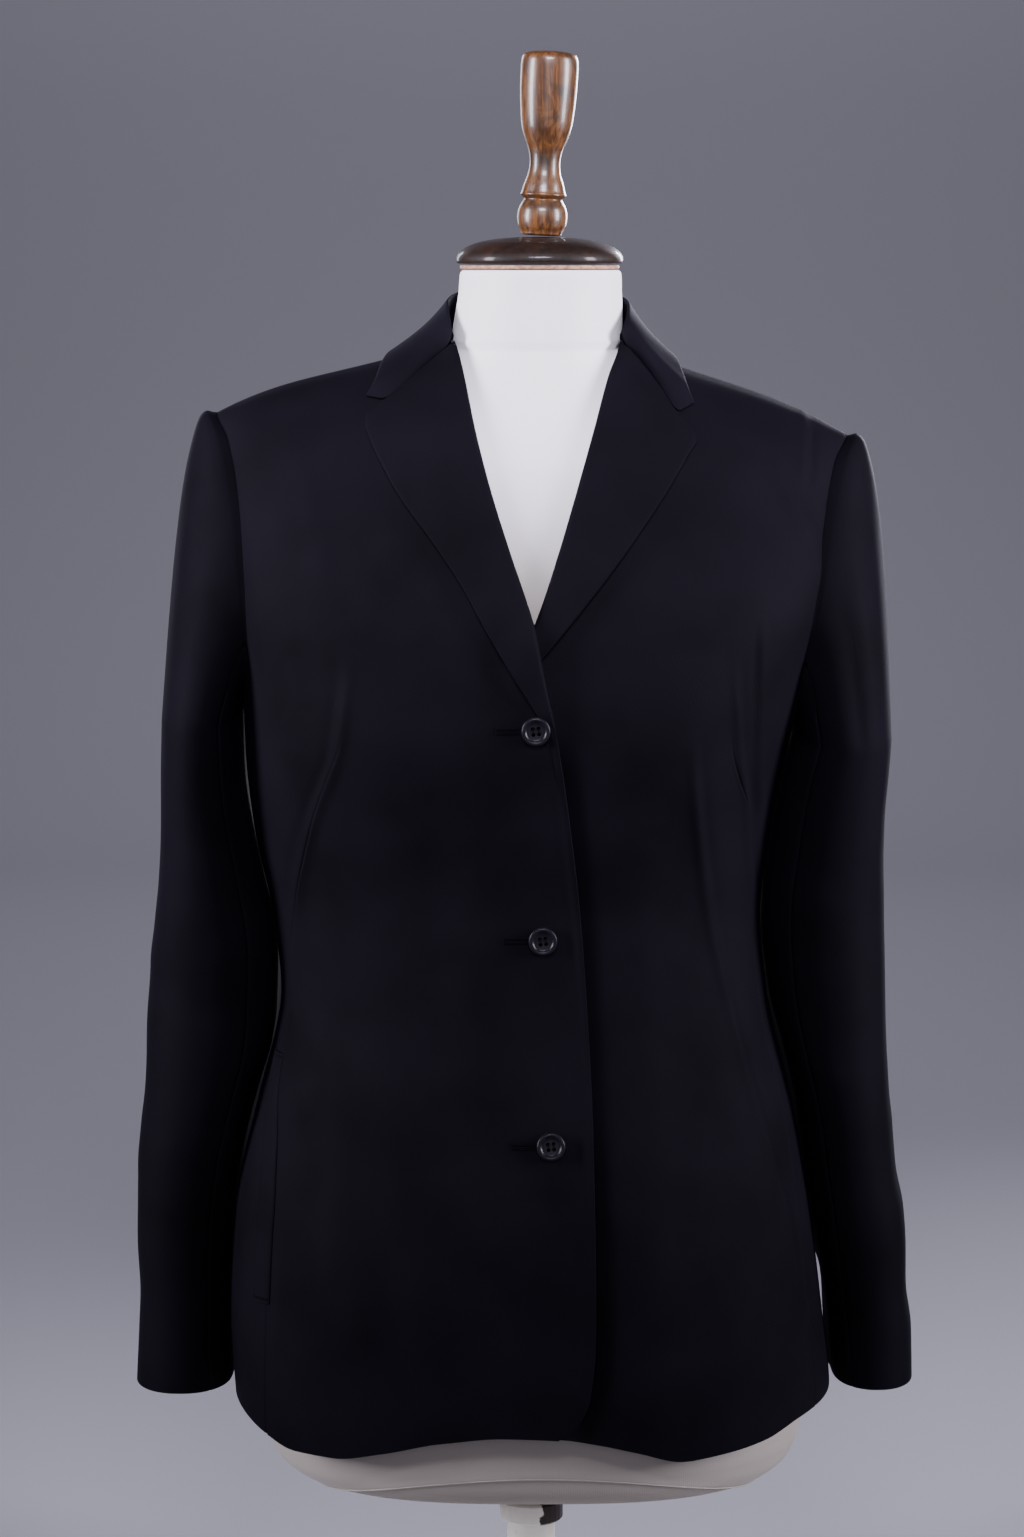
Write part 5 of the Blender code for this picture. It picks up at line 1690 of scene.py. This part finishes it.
@dataclass(frozen=True)
class Sleeve:
    """A two piece set-in sleeve, hanging empty."""

    body: Body
    side: Side
    columns: tuple[str, ...] = ("height", "outer", "inner", "front", "back", "tuck")
    right: Rows = (
        (635, 235.2, 187, -68, 74, 12), (600, 236.6, 185.6, -62, 74, 12),
        (560, 237.5, 179.8, -54, 74, 12), (530, 239.2, 173.2, -48.2, 72.8, 12),
        (505, 242.6, 167.9, -44.2, 71.3, 12), (476, 247.8, 165.2, -41.4, 69.6, 12),
        (450, 248.6, 165.8, -40.1, 68.4, 12), (420, 248.9, 170.3, -40, 67, 12),
        (398, 250, 177.1, -40, 65.9, 12), (372, 253, 184.3, -38.7, 64.6, 12),
        (345, 254.8, 190.6, -37.2, 63.2, 12), (319, 254.7, 194.7, -35.9, 61.9, 12),
        (293, 255.1, 196.7, -34.6, 60.7, 12), (267, 254.6, 197.3, -33.7, 59.5, 11),
        (240, 255.9, 197.4, -33, 58, 9), (203.5, 257.9, 196.2, -32, 57, 9),
    )
    left: Rows = (
        (622, 223.4, 164.5, -66, 72, 12), (600, 222.4, 158.2, -62, 72, 12),
        (579, 221.7, 153.6, -57.7, 72, 12), (553, 222.5, 149.3, -52.7, 71.9, 12),
        (528, 222.8, 145.8, -48.4, 70.9, 12), (502, 222.4, 145, -44.9, 69.6, 12),
        (476, 222.7, 147.3, -41.9, 68.6, 12), (450, 223.4, 151.2, -40.6, 67.4, 12),
        (424, 224.7, 158, -40.1, 66.2, 12), (398, 227.3, 164.9, -39.4, 65.3, 12),
        (372, 231, 170, -38.2, 64.2, 12), (345, 231.9, 174.2, -36.8, 62.8, 12),
        (319, 236.3, 178.1, -35.9, 61.9, 12), (293, 238.3, 182.2, -34.7, 60.8, 11),
        (267, 239.1, 186.1, -33.7, 59.5, 5), (240, 242.8, 189.6, -33, 58, 7),
        (206, 243.8, 192.4, -32, 57, 8),
    )
    # Height, angle from the outer side, rise, reach up and round, and tilt where it leans
    right_folds: Rows = (
        (512, 60, 2.4, 34, 40), (470, 20, -2.2, 26, 50), (430, 70, 2, 30, 44), (300, 40, 1.8, 40, 46),
        (250, 75, -1.6, 28, 40), (545, 100, 1, 12, 34, 0.012), (492, 120, 1.1, 11, 30, -0.01),
        (452, 110, -0.9, 10, 36), (600, 80, 0.8, 20, 22, 0.02), (360, 60, 0.7, 12, 40, -0.01),
        (500, 230, 1.6, 18, 40, 0.01), (440, 250, -1.4, 16, 44),
    )
    left_folds: Rows = (
        (600, 55, 2, 46, 36), (545, 15, -1.8, 34, 50), (455, 65, 2.4, 30, 42), (372, 30, -2.4, 26, 48),
        (300, 60, 2.2, 32, 40), (690, 58, 1.3, 60, 9, 0), (650, 80, -1, 60, 8, 0),
        (520, 110, 1, 12, 32, 0.012), (410, 100, 1.1, 11, 34, -0.012), (335, 90, -0.9, 12, 36),
        (480, 235, 1.5, 17, 42, 0.012), (420, 245, -1.4, 18, 40),
    )
    # The first ones are in the solid too, the others only lie in the cloth
    large_folds: int = 5
    head_reach: Pair = (0.27, 0.35)
    # Where the inner side hangs round behind the body: degrees from the outer side
    tuck_turn: float = 225.0
    tuck_spread: float = 22.0
    square: float = 2.25
    puff: float = 1.9
    swell: Pair = (0.4, 2.3)
    around: int = 100
    cap_rings: int = 46
    tube_rings: int = 110
    # Cut of an upper sleeve 270 x 640 mm and of an under sleeve 150 x 520 mm
    upper_cut: Triple = (0.27, 0.64, 0.125)
    under_cut: Triple = (0.15, 0.52, 0.056)

    def folds(self) -> tuple[SleeveFold, ...]:
        """Folds of this side's sleeve, the large ones first."""
        return folds(SleeveFold, *self.side.of((self.right_folds, self.left_folds)))

    def armhole(self) -> tuple[Points, Points, Points]:
        """Closed curve of the armhole seam, the way out along it and how the panels face.

        Returns:
            All three, a row for each column of the sleeve.
        """
        body, side = self.body, self.side
        tip = body.ridge(side.value * side.of(body.armhole_tip))
        bottom = side.of(body.armhole_bottom)
        shares = np.linspace(1, 0, 400)
        heights = bottom + (tip - bottom) * shares
        low = (1 - ease(shares / 0.3))[:, None]
        half = self.around // 2
        faces = []
        for face in (Face.FRONT, Face.BACK):
            turns = body.armhole_turn(side, heights, face)
            points = body.point(turns, heights, face)
            run = body.point(turns + side.value * 0.02, heights, face) - points
            facing = np.cross(run, body.point(turns, heights + 1, face) - points)
            facing *= -face.value * side.value
            facing[:, 2] = np.abs(facing[:, 2])
            points[:, 1] += face.value * body.seam_gap / 2
            run = unit(unit(run) * (1 - low) + np.array([side.value, 0.0, 0.0]) * low)
            length = norm(np.diff(points, axis=0), axis=1).cumsum()
            length = np.concatenate([[0], length])
            wanted = np.linspace(0, length[-1], half + 1)
            faces.append(
                [
                    np.stack([np.interp(wanted, length, line[:, k]) for k in range(3)], 1)
                    for line in (points, run, facing)
                ]
            )
        ring, out, facing = (np.concatenate([front, back[1:-1][::-1]]) for front, back in zip(*faces))
        ring[[0, half], 1] = 0
        return ring, out, unit(facing)

    def section(self, height: float) -> Points:
        """Closed level section: outer side, front, inner side and back.

        Args:
            height: Its height.

        Returns:
            Points in order.
        """
        table = Table(self.columns, self.side.of((self.right, self.left)))
        outer, inner, front, back, tucked = (table.read(k, height) for k in self.columns[1:])
        turns = turns_round(self.around)
        rise = sum(fold.lift(np.degrees(turns), height) for fold in self.folds())
        cosine, sine = (
            np.sign(wave) * np.abs(wave) ** (2 / self.square)
            for wave in (np.cos(turns), np.sin(turns))
        )
        across = (outer + inner) / 2 + ((outer - inner) / 2 + rise) * cosine
        behind = (np.degrees(turns) - self.tuck_turn) / self.tuck_spread
        across = across - tucked * np.exp(-(behind**2))
        out = (front + back) / 2 - ((back - front) / 2 + rise) * sine
        level = np.full(self.around, height)
        return np.stack([self.side.value * across, out, level], axis=1)

    def grid(self) -> Points:
        """Rings from the armhole over the head and down to the cuff.

        Returns:
            Rings of points.
        """
        seam, outs, _ = self.armhole()
        table = self.side.of((self.right, self.left))
        top, foot = table[0][0], table[-1][0]
        biceps = self.section(top)
        turns = turns_round(self.around)
        head = (0.5 + 0.5 * np.cos(turns))[:, None]
        rings = []
        for share in np.linspace(0, 1, self.cap_rings + 1)[:-1] ** 1.3:
            point = seam - outs * 0.1 * (1 - ease(share / 0.143))
            step = biceps - seam
            reach = self.side.of(self.head_reach)
            point[:, :1] += step[:, :1] * share ** (0.95 - reach * head)
            point[:, 1:2] += step[:, 1:2] * share**0.8
            point[:, 2:] += step[:, 2:] * share ** (1.15 + 0.7 * head)
            puff = self.puff * math.exp(-(((share - 0.1) / 0.12) ** 2)) * ease(share / 0.05)
            swell = self.side.of(self.swell) * math.sin(math.pi * share)
            point[:, :1] += self.side.value * (0.5 * puff + swell) * head**2
            point[:, 2:] += puff * head**3
            small = self.folds()[self.large_folds :]
            fold = sum(f.lift(np.degrees(turns), point[:, 2]) for f in small)
            point[:, 1] -= fold * np.sin(turns) * ease(share / 0.5)
            rings.append(point)
        rings += [self.section(h) for h in np.linspace(top, foot, self.tube_rings)]
        return np.array(rings)

    def build(self) -> None:
        """Make the upper and the under sleeve."""
        grid = self.grid()
        near = (1 - ease(np.arange(len(grid)) / 4))[:, None, None]
        normals = unit(ring_normals(grid) * (1 - near) + self.armhole()[2] * near)
        front, back = self.around * 7 // 20, self.around * 7 // 10
        upper = list(range(back, self.around)) + list(range(front + 1))
        under = list(range(front, back + 1))
        for kind, places, cut in (("upper", upper, self.upper_cut), ("under", under, self.under_cut)):
            outer, facing = grid[:, places].copy(), normals[:, places]
            for end, beside in ((0, 1), (-1, -2)):
                step = unit(outer[:, beside] - outer[:, end])
                outer[:, end] += step * self.body.seam_gap * 0.6
            inner = outer - self.body.cloth * facing
            outer = tuck(outer, facing, "r", 0.7, 1.4)
            outer = tuck(outer, facing, "cC", 0.45, 1.1)
            node = f"sleeve_{kind}_{self.side.word}"
            piece = make_cloth(f"{node}_cloth", outer, inner)
            settle(piece, "sleeve", "navy_suiting_sleeve", node)


@dataclass(frozen=True)
class Welt:
    """An in-seam pocket welt over the side front seam, with a bar tack at each end."""

    revers: Revers
    side: Side
    top: float = 427.0
    foot: float = 276.0
    width: float = 17.0
    cloth: float = 1.3
    clear: float = 0.4
    # Cut of a folded welt as it shows: 19 x 155 mm
    cut: Pair = (0.019, 0.155)

    def surface(self, offset: Points, height: float) -> Points:
        """Points on the front at degrees behind the seam, at one height.

        Args:
            offset: Degrees behind the seam.
            height: Their height.

        Returns:
            The points.
        """
        body, sign = self.revers.body, self.side.value
        turns = body.seam_turn(self.side, height) + sign * np.radians(offset)
        row = body.point(turns, height, Face.FRONT)
        for drape in DRAPES[self.side]:
            row[:, 1] -= drape.lift(row[:, 0], row[:, 2])
        return row

    def build(self) -> None:
        """Make the welt and its bar tacks."""
        rows = []
        for height in np.linspace(self.foot, self.top, 60):
            here = self.surface(np.array([0.0, 1.0]), height)
            degrees = self.width / norm((here[1] - here[0])[:2])
            rows.append(self.surface(np.linspace(-1.5, degrees - 1.5, 16), height))
        base = np.array(rows)
        normals = normals_of(base, base * np.array([1, 1, 0]))
        inner = base + normals * self.clear
        outer = base + normals * (self.clear + self.cloth)
        bend = np.abs(np.linspace(-1, 1, 16)) ** 5
        outer = outer - normals * (1.05 * bend)[None, :, None]
        name = f"welt_{self.side.word}"
        piece = make_cloth(f"{name}_cloth", outer, inner)
        settle(piece, "welt", "navy_suiting_welt", name)
        strands = []
        for row in (1, -2):
            for step in range(6):
                line = (outer[row] + normals[row] * 0.04)[1:-1]
                line[:, 2] += (step - 2.5) * 0.3
                strands.append(line)
        tacks = make_thread(f"{name}_bar_tacks", strands, 0.16)
        settle(tacks, "thread", "navy_suiting_welt")


@dataclass(frozen=True)
class Fastening:
    """A four hole button, its thread and the worked buttonhole beside it."""

    revers: Revers
    name: str
    across: float
    height: float
    radius: float = 8.9
    dish: float = 5.9
    hole_radius: float = 1.0
    hole_pitch: float = 2.4
    clear: float = 0.5
    hole_length: float = 23.5
    hole_height: float = 4.4
    # One purled stitch: places along the lip, shares of half the height, and how far out
    purl: Rows = ((0, 1, 0.1), (0.05, 0.72, 0.55), (0.1, 0.3, 0.6), (0.1, 0.12, 0.1))

    def place(self) -> tuple[Points, Points]:
        """Where the button sits on the right front, and the way it faces.

        Returns:
            The seat and the way it faces.
        """
        front, side = self.revers.front, Side.RIGHT
        seat = front(side, self.across, self.height)
        up = front(side, self.across, self.height + 6) - front(side, self.across, self.height - 6)
        flat = self.revers.body.front_at(self.across + 6, self.height)
        flat = flat - self.revers.body.front_at(self.across - 6, self.height)
        face = np.cross(flat, up)
        face /= norm(face)
        return seat, face if face[1] < 0 else -face

    def button(self) -> None:
        """Make the button with drilled holes, and its crossed thread."""
        seat, face = self.place()
        rim, dish = self.radius, self.dish
        profile = [
            (0, 0), (rim - 1.6, 0), (rim - 0.3, 0.7), (rim, 1.7), (rim - 0.3, 2.9),
            (rim - 1.3, 3.5), (dish + 0.6, 3.3), (dish - 0.2, 2.5), (dish - 1.2, 2.1), (0.0, 1.9),
        ]
        place = Matrix.Translation(Vector(seat + face * self.clear) * MM)
        turn = Vector((0, 0, 1)).rotation_difference(Vector(face)).to_matrix().to_4x4()
        body = make_lathe(f"{self.name}_disc", profile, 72, Matrix())
        for corner in range(4):
            angle = math.pi / 4 + corner * math.pi / 2 + 0.12
            bpy.ops.mesh.primitive_cone_add(
                vertices=24, radius1=self.hole_radius * MM, radius2=self.hole_radius * 1.25 * MM,
                depth=6 * MM,
                location=(
                    self.hole_pitch * math.cos(angle) * MM,
                    self.hole_pitch * math.sin(angle) * MM, 0.4 * MM,
                ),
            )
            drill = bpy.context.active_object
            cut = body.modifiers.new("hole", "BOOLEAN")
            cut.operation, cut.solver, cut.object = "DIFFERENCE", "EXACT", drill
            bpy.context.view_layer.objects.active = body
            bpy.ops.object.modifier_apply(modifier=cut.name)
            bpy.data.objects.remove(drill)
        body.data.shade_smooth()
        body.data.set_sharp_from_angle(angle=math.radians(40))
        body.data.transform(place @ turn)
        settle(body, "button", "button_polyester", self.name)
        strands = []
        for side in (-1, 1):
            for ply in (-0.32, 0.0, 0.32):
                rise = np.linspace(-1, 1, 9)
                line = np.stack(
                    [
                        np.full(9, side * self.hole_pitch * 0.66 + ply),
                        rise * self.hole_pitch * 0.82,
                        2.05 + 0.35 * (1 - rise**4) - 1.3 * np.abs(rise) ** 10,
                    ],
                    axis=1,
                )
                strands.append(line)
        thread = make_thread(f"{self.name}_thread", strands, 0.17)
        thread.data.transform(place @ turn)
        settle(thread, "thread", "button_polyester")

    def buttonhole(self) -> None:
        """Work the buttonhole: purled stitches along both lips and a bar at its end."""
        half = self.hole_height / 2
        start = self.across - self.hole_length
        strands = []

        def on_cloth(across: float, share: float, out: float) -> Points:
            """A place on the front at a share of half the buttonhole's height.

            Args:
                across: Place from the middle.
                share: Share of half the height.
                out: Distance from the cloth.

            Returns:
                The point.
            """
            point = self.revers.front(Side.RIGHT, across, self.height + share * half)
            point[1] -= out
            return point

        for lip in (-1, 1):
            for across in np.arange(start, self.across - 2, 0.62):
                stitch = [on_cloth(across + x, lip * share, out) for x, share, out in self.purl]
                strands.append(np.array(stitch))
        for step in np.linspace(-1, 1, 9):
            bar = (start - 0.9 + 0.12 * abs(step), 0.1), (start - 0.2, 0.7), (start + 0.7, 0.1)
            strands.append(np.array([on_cloth(across, step, out) for across, out in bar]))
        piece = make_thread(f"{self.name}_buttonhole", strands, 0.22)
        settle(piece, "thread", "navy_suiting")


@dataclass(frozen=True)
class DressForm:
    """The limbless form: jersey stretched over torso, shoulders and neck."""

    body: Body
    ease_in: Table = Table(
        ("height", "side", "front", "back"),
        (
            (150, 16, 14, 14), (200, 14, 13, 13), (260, 9, 8, 8), (320, 4.5, 4, 4), (400, 5, 5, 5),
            (470, 7, 8, 6), (560, 5, 6, 5), (640, 2.4, 2.4, 3), (700, 1.8, 2, 2.6), (760, 1.4, 1.6, 2),
            (830, 1, 1.1, 1.1), (870, 0.9, 1, 1),
        ),
    )
    rounding: Rows = ((150, 27), (151.8, 17), (156.5, 8.5), (164, 2.6), (174, 0))
    neck: Table = Table(
        ("height", "radius", "lean"),
        (
            (869.5, 53.4, 0.4), (877, 52.9, 0.8), (886, 52.2, 1.6), (899, 50.9, 2.5), (912.4, 50, 2.8),
            (914, 48.6, 2.8),
        ),
    )
    neck_radius: float = 54.6
    around: int = 160
    # The cover's sewn edge: its middle and reach across, then height, slope and droop
    sewn_middle: float = -3.0
    sewn_reach: float = 112.0
    sewn: Triple = (174.0, 1.7, 15.3)

    def ring(self, height: float) -> Points:
        """Closed level section of the form under the cloth.

        Args:
            height: Its height.

        Returns:
            Points in order.
        """
        body = self.body
        side_in, front_in, back_in = (self.ease_in.read(k, height) for k in ("side", "front", "back"))
        raised = height + (body.cloth + 0.9) * ease((height - 760) / 40)
        square = body.torso.read("square", height)
        turns = np.linspace(0, 2 * math.pi, 721)[:-1]
        sign = np.where(np.sin(turns) < 0, -1.0, 1.0)
        widest = body.half_width(sign, height)
        over = height + body.cloth + 0.9
        places = np.linspace(50, 206, 300)
        on_ridge = np.where(
            sign < 0,
            *(np.interp(-over, -body.ridge(side.value * places), places) for side in Side),
        )
        reach = np.where(over < body.ridge(sign * widest), widest, on_ridge)
        across = sign * reach * np.abs(np.sin(turns)) ** (2 / square)
        facing = np.cos(turns) > 0
        out = np.where(
            facing,
            *(body.depth_at(across, raised, face, self.neck_radius) for face in Face),
        )
        out = out * np.abs(np.cos(body.turn_at(across, raised))) ** (2 / square)
        inset = body.cloth + np.where(facing, front_in, back_in)
        out = np.maximum(0, out - inset * np.minimum(1, out / 14))
        across = across * (reach - body.cloth - side_in) / reach
        out = np.where(facing, -out, out)
        angles = np.unwrap(np.arctan2(across, -out))
        wanted = turns_round(self.around)
        angles = np.append(angles, angles[0] + 2 * math.pi)
        ring = [np.interp(wanted, angles, np.append(k, k[0])) for k in (across, out)]
        return np.stack([*ring, np.full(self.around, height)], axis=1)

    def build(self) -> None:
        """Make the form with the sewn edge of its cover near the foot."""
        rings = []
        steps, insets = zip(*self.rounding)
        for height in np.concatenate([np.linspace(150, 152, 4), np.linspace(153, 174, 16)]):
            ring = self.ring(max(height, 150.0))
            reach = norm(ring[:, :2], axis=1, keepdims=True)
            inset = curve(height, steps, insets)
            ring[:, :2] *= (reach - inset) / reach
            rings.append(ring)
        levels = np.concatenate([np.linspace(178, 800, 84), np.linspace(805, 866, 30)])
        rings += [self.ring(height) for height in levels]
        turns = turns_round(self.around)
        for height in np.concatenate([np.linspace(869.5, 912.4, 24), [913.2, 913.8, 914.0]]):
            radius, lean = (self.neck.read(k, height) for k in ("radius", "lean"))
            across = lean + radius * np.sin(turns)
            out = 0.5 - radius * np.cos(turns)
            rings.append(np.stack([across, out, np.full(self.around, height)], axis=1))
        grid = np.array(rings)
        normals = ring_normals(grid)
        aside = (grid[..., 0] - self.sewn_middle) / self.sewn_reach
        top, slope, droop = self.sewn
        sewn = top + slope * aside - droop * aside**2
        ridge = 0.7 * np.exp(-(((grid[..., 2] - sewn) / 2.2) ** 2)) * (grid[..., 1] < 0)
        grid = grid + normals * ridge[..., None] * (grid[..., 2:] > 151)
        piece = make_tube("form_torso_cover", grid)
        settle(piece, "jersey", "form_jersey", "form_torso")
        tape = []
        for column in np.roll(np.arange(self.around), self.around // 2):
            run, facing = grid[:26, column], normals[:26, column]
            if run[:, 1].max() < -18:
                places = run + facing * 0.35
                gap = run[:, 2] - sewn[:26, column]
                tape.append([np.interp(0, gap, places[:, k]) for k in range(3)])
        seam = make_thread("form_cover_seam", [np.array(tape)], 0.5)
        settle(seam, "jersey", "form_jersey")


@dataclass(frozen=True)
class Stand:
    """Neck cap, finial, pole and foot, all turned: profiles of radius and height."""

    neck: Pair = (2.2, 0.5)
    finial_across: float = 3.2
    finial_seat: float = 934.9
    finial_lean: float = math.radians(2.8)
    pole_across: float = -2.6
    disc: Rows = (
        (0.02, 914.3), (48.6, 914.3), (49.6, 915.3), (49.6, 916.6), (48.8, 917.3), (0.02, 917.3),
    )
    cap: Rows = (
        (0.02, 917.6), (50.4, 917.6), (51.8, 919), (52, 921.4), (50.6, 924.6), (46.6, 928), (38, 931.4),
        (26, 933.5), (12, 934.4), (0.02, 934.6),
    )
    finial: Rows = (
        (0.02, 0.3), (12.4, 0.3), (12.8, 2.4), (14.8, 6), (15.7, 11.5), (15, 17), (12.6, 21.4),
        (11.6, 22.8), (13.9, 24.6), (14.4, 25.6), (13.7, 26.8), (12.4, 32), (10, 38.5), (9.2, 45),
        (10.2, 52), (13.4, 60), (15.8, 67), (17.6, 86), (17.9, 104), (17.4, 109), (15.8, 111.8),
        (9, 113.2), (0.02, 113.7),
    )

    flange: Rows = ((0.02, 145.6), (25, 145.6), (26, 146.6), (26, 148.7), (25, 149.7), (0.02, 149.7))
    pole: Rows = (
        (0.02, 16.4), (14.6, 16.4), (15.4, 17.2), (15.4, 144.5), (14.6, 145.3), (0.02, 145.3),
    )
    base: Rows = (
        (0.02, 0), (146, 0), (150, 3), (150, 9), (147, 12.6), (138, 15), (60, 16.1), (0.02, 16.1),
    )

    def build(self) -> None:
        """Turn each piece and dress it."""
        neck = Matrix.Translation((self.neck[0] * MM, self.neck[1] * MM, 0))
        top = Matrix.Translation(
            (self.finial_across * MM, self.neck[1] * MM, self.finial_seat * MM)
        ) @ Matrix.Rotation(self.finial_lean, 4, "Y")
        pole = Matrix.Translation((self.pole_across * MM, 0, 0))
        for name, profile, steps, place, finish, slot in (
            ("cap_disc", self.disc, 96, neck, "disc", "cap_plywood"),
            ("neck_cap", self.cap, 128, neck, "cap", "cap_stained_wood"),
            ("finial", self.finial, 96, top, "finial", "finial_varnished_wood"),
            ("pole_flange", self.flange, 72, pole, "steel", "flange_blackened_steel"),
            ("pole", self.pole, 72, pole, "pole", "pole_painted_wood"),
            ("base", self.base, 160, Matrix(), "base", "base_painted_wood"),
        ):
            piece = make_lathe(f"{name}_turned", profile, steps, place)
            settle(piece, finish, slot, name)


# ---- studio


@dataclass(frozen=True)
class Studio:
    """Plain pale floor, soft light and the camera."""

    camera_at: Triple = (-0.015, -2.42, 0.92)
    pitch_degrees: float = 7.5
    focal_pixels: float = 3860.0
    frame_height: float = 1537.0
    sensor_mm: float = 24.0
    floor_colour: str = "#8f8e97"
    world: float = 0.09

    def floor(self) -> None:
        """A pale sweep: flat floor that curves up behind."""
        radius, back, top = 1.2, 3.4, 4.6
        line = [(-16.0, 0.0), (back, 0.0)]
        for step in range(1, 13):
            turn = step / 12 * math.pi / 2
            line.append((back + radius * math.sin(turn), radius * (1 - math.cos(turn))))
        line.append((back + radius, top))
        points = [(x, y, z) for y, z in line for x in (-9.0, 9.0)]
        faces = [(2 * k, 2 * k + 1, 2 * k + 3, 2 * k + 2) for k in range(len(line) - 1)]
        mesh = bpy.data.meshes.new("floor")
        mesh.from_pydata(points, [], faces)
        mesh.shade_smooth()
        thing = bpy.data.objects.new("floor", mesh)
        bpy.context.scene.collection.objects.link(thing)
        material, tree, shader, _ = start_material("floor_paper_matt")
        fill(tree, shader, {"Base Color": self.floor_colour, "Roughness": 0.9})
        mesh.materials.append(material)

    @staticmethod
    def lamp(
        name: str, at: Triple, to: Triple, size: Pair, watts: float, colour: str,
        grid_degrees: float = 180.0,
    ) -> None:
        """Hang one soft rectangular light.

        Args:
            name: Name of the light.
            at: Where it hangs, in metres.
            to: What it faces.
            size: Its width and height in metres.
            watts: Its power.
            colour: Its sRGB colour.
            grid_degrees: How wide its honeycomb grid lets the light out.
        """
        light = bpy.data.lights.new(name, "AREA")
        light.shape = "RECTANGLE"
        light.size, light.size_y = size
        light.energy = watts
        light.spread = math.radians(grid_degrees)
        light.color = linear(colour)[:3]
        thing = bpy.data.objects.new(name, light)
        thing.location = at
        thing.rotation_euler = (Vector(to) - Vector(at)).to_track_quat("-Z", "Y").to_euler()
        bpy.context.scene.collection.objects.link(thing)

    def build(self) -> None:
        """Set floor, world, lights and camera."""
        self.floor()
        world = bpy.data.worlds.new("studio")
        world.use_nodes = True
        world.node_tree.nodes["Background"].inputs[0].default_value = linear("#d4d6de")
        world.node_tree.nodes["Background"].inputs[1].default_value = self.world
        bpy.context.scene.world = world
        for name, side, behind in (("right", -1, 2), ("left", 1, 12)):
            self.lamp(
                f"soft_box_{name}", (1.75 * side, -0.5, 1.15), (0, 0, 0.93), (0.5, 1.2), 18,
                "#f4f2ff", 70,
            )
            self.lamp(
                f"back_box_{name}", (1.0 * side, 2.2, 1.2), (0, 0, 0.6), (0.4, 1.0),
                behind, "#f0f0ff", 60,
            )
        self.lamp("high_box", (0, -1.7, 1.9), (0, 0, 0.95), (1.0, 0.4), 5.5, "#f2f0ff", 40)
        self.lamp("fill", (0, -2.6, 0.8), (0, 0, 0.6), (1.6, 1.6), 14, "#f2f0ff")
        self.lamp("backdrop", (0, 2.0, 2.9), (0, 4.6, 1.0), (3.0, 0.8), 72, "#eceaf4")
        camera = bpy.data.cameras.new("camera")
        camera.sensor_fit = "VERTICAL"
        camera.sensor_height = self.sensor_mm
        camera.lens = self.sensor_mm * self.focal_pixels / self.frame_height
        thing = bpy.data.objects.new("camera", camera)
        thing.location = self.camera_at
        thing.rotation_euler = (math.radians(90 - self.pitch_degrees), 0, 0)
        bpy.context.scene.collection.objects.link(thing)
        bpy.context.scene.camera = thing


def main() -> None:
    """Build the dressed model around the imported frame."""
    logging.basicConfig(level=logging.INFO, format="%(name)s %(message)s")
    for leftover in list(bpy.data.objects):
        bpy.data.objects.remove(leftover)
    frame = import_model()
    for finish in Finishes.__dataclass_fields__:
        material_of(finish)
    body = Body()
    revers = Revers(body)
    for side in Side:
        for face in Face:
            Panel(body, side, face).build()
        Lapel(revers, side).build()
        Sleeve(body, side).build()
    Collar(revers).build()
    Welt(revers, Side.RIGHT).build()
    for name, across, height in (
        ("button_top", -0.7, 640.6), ("button_middle", 3.8, 510.0), ("button_low", 8.7, 385.2)
    ):
        fastening = Fastening(revers, name, across, height)
        fastening.button()
        fastening.buttonhole()
    DressForm(body).build()
    Stand().build()
    clamp = frame["nodes"]["pole_clamp"]
    clamp.data.materials.clear()
    clamp.data.materials.append(material_of("clamp"))
    Studio().build()


if __name__ == "__main__":
    main()
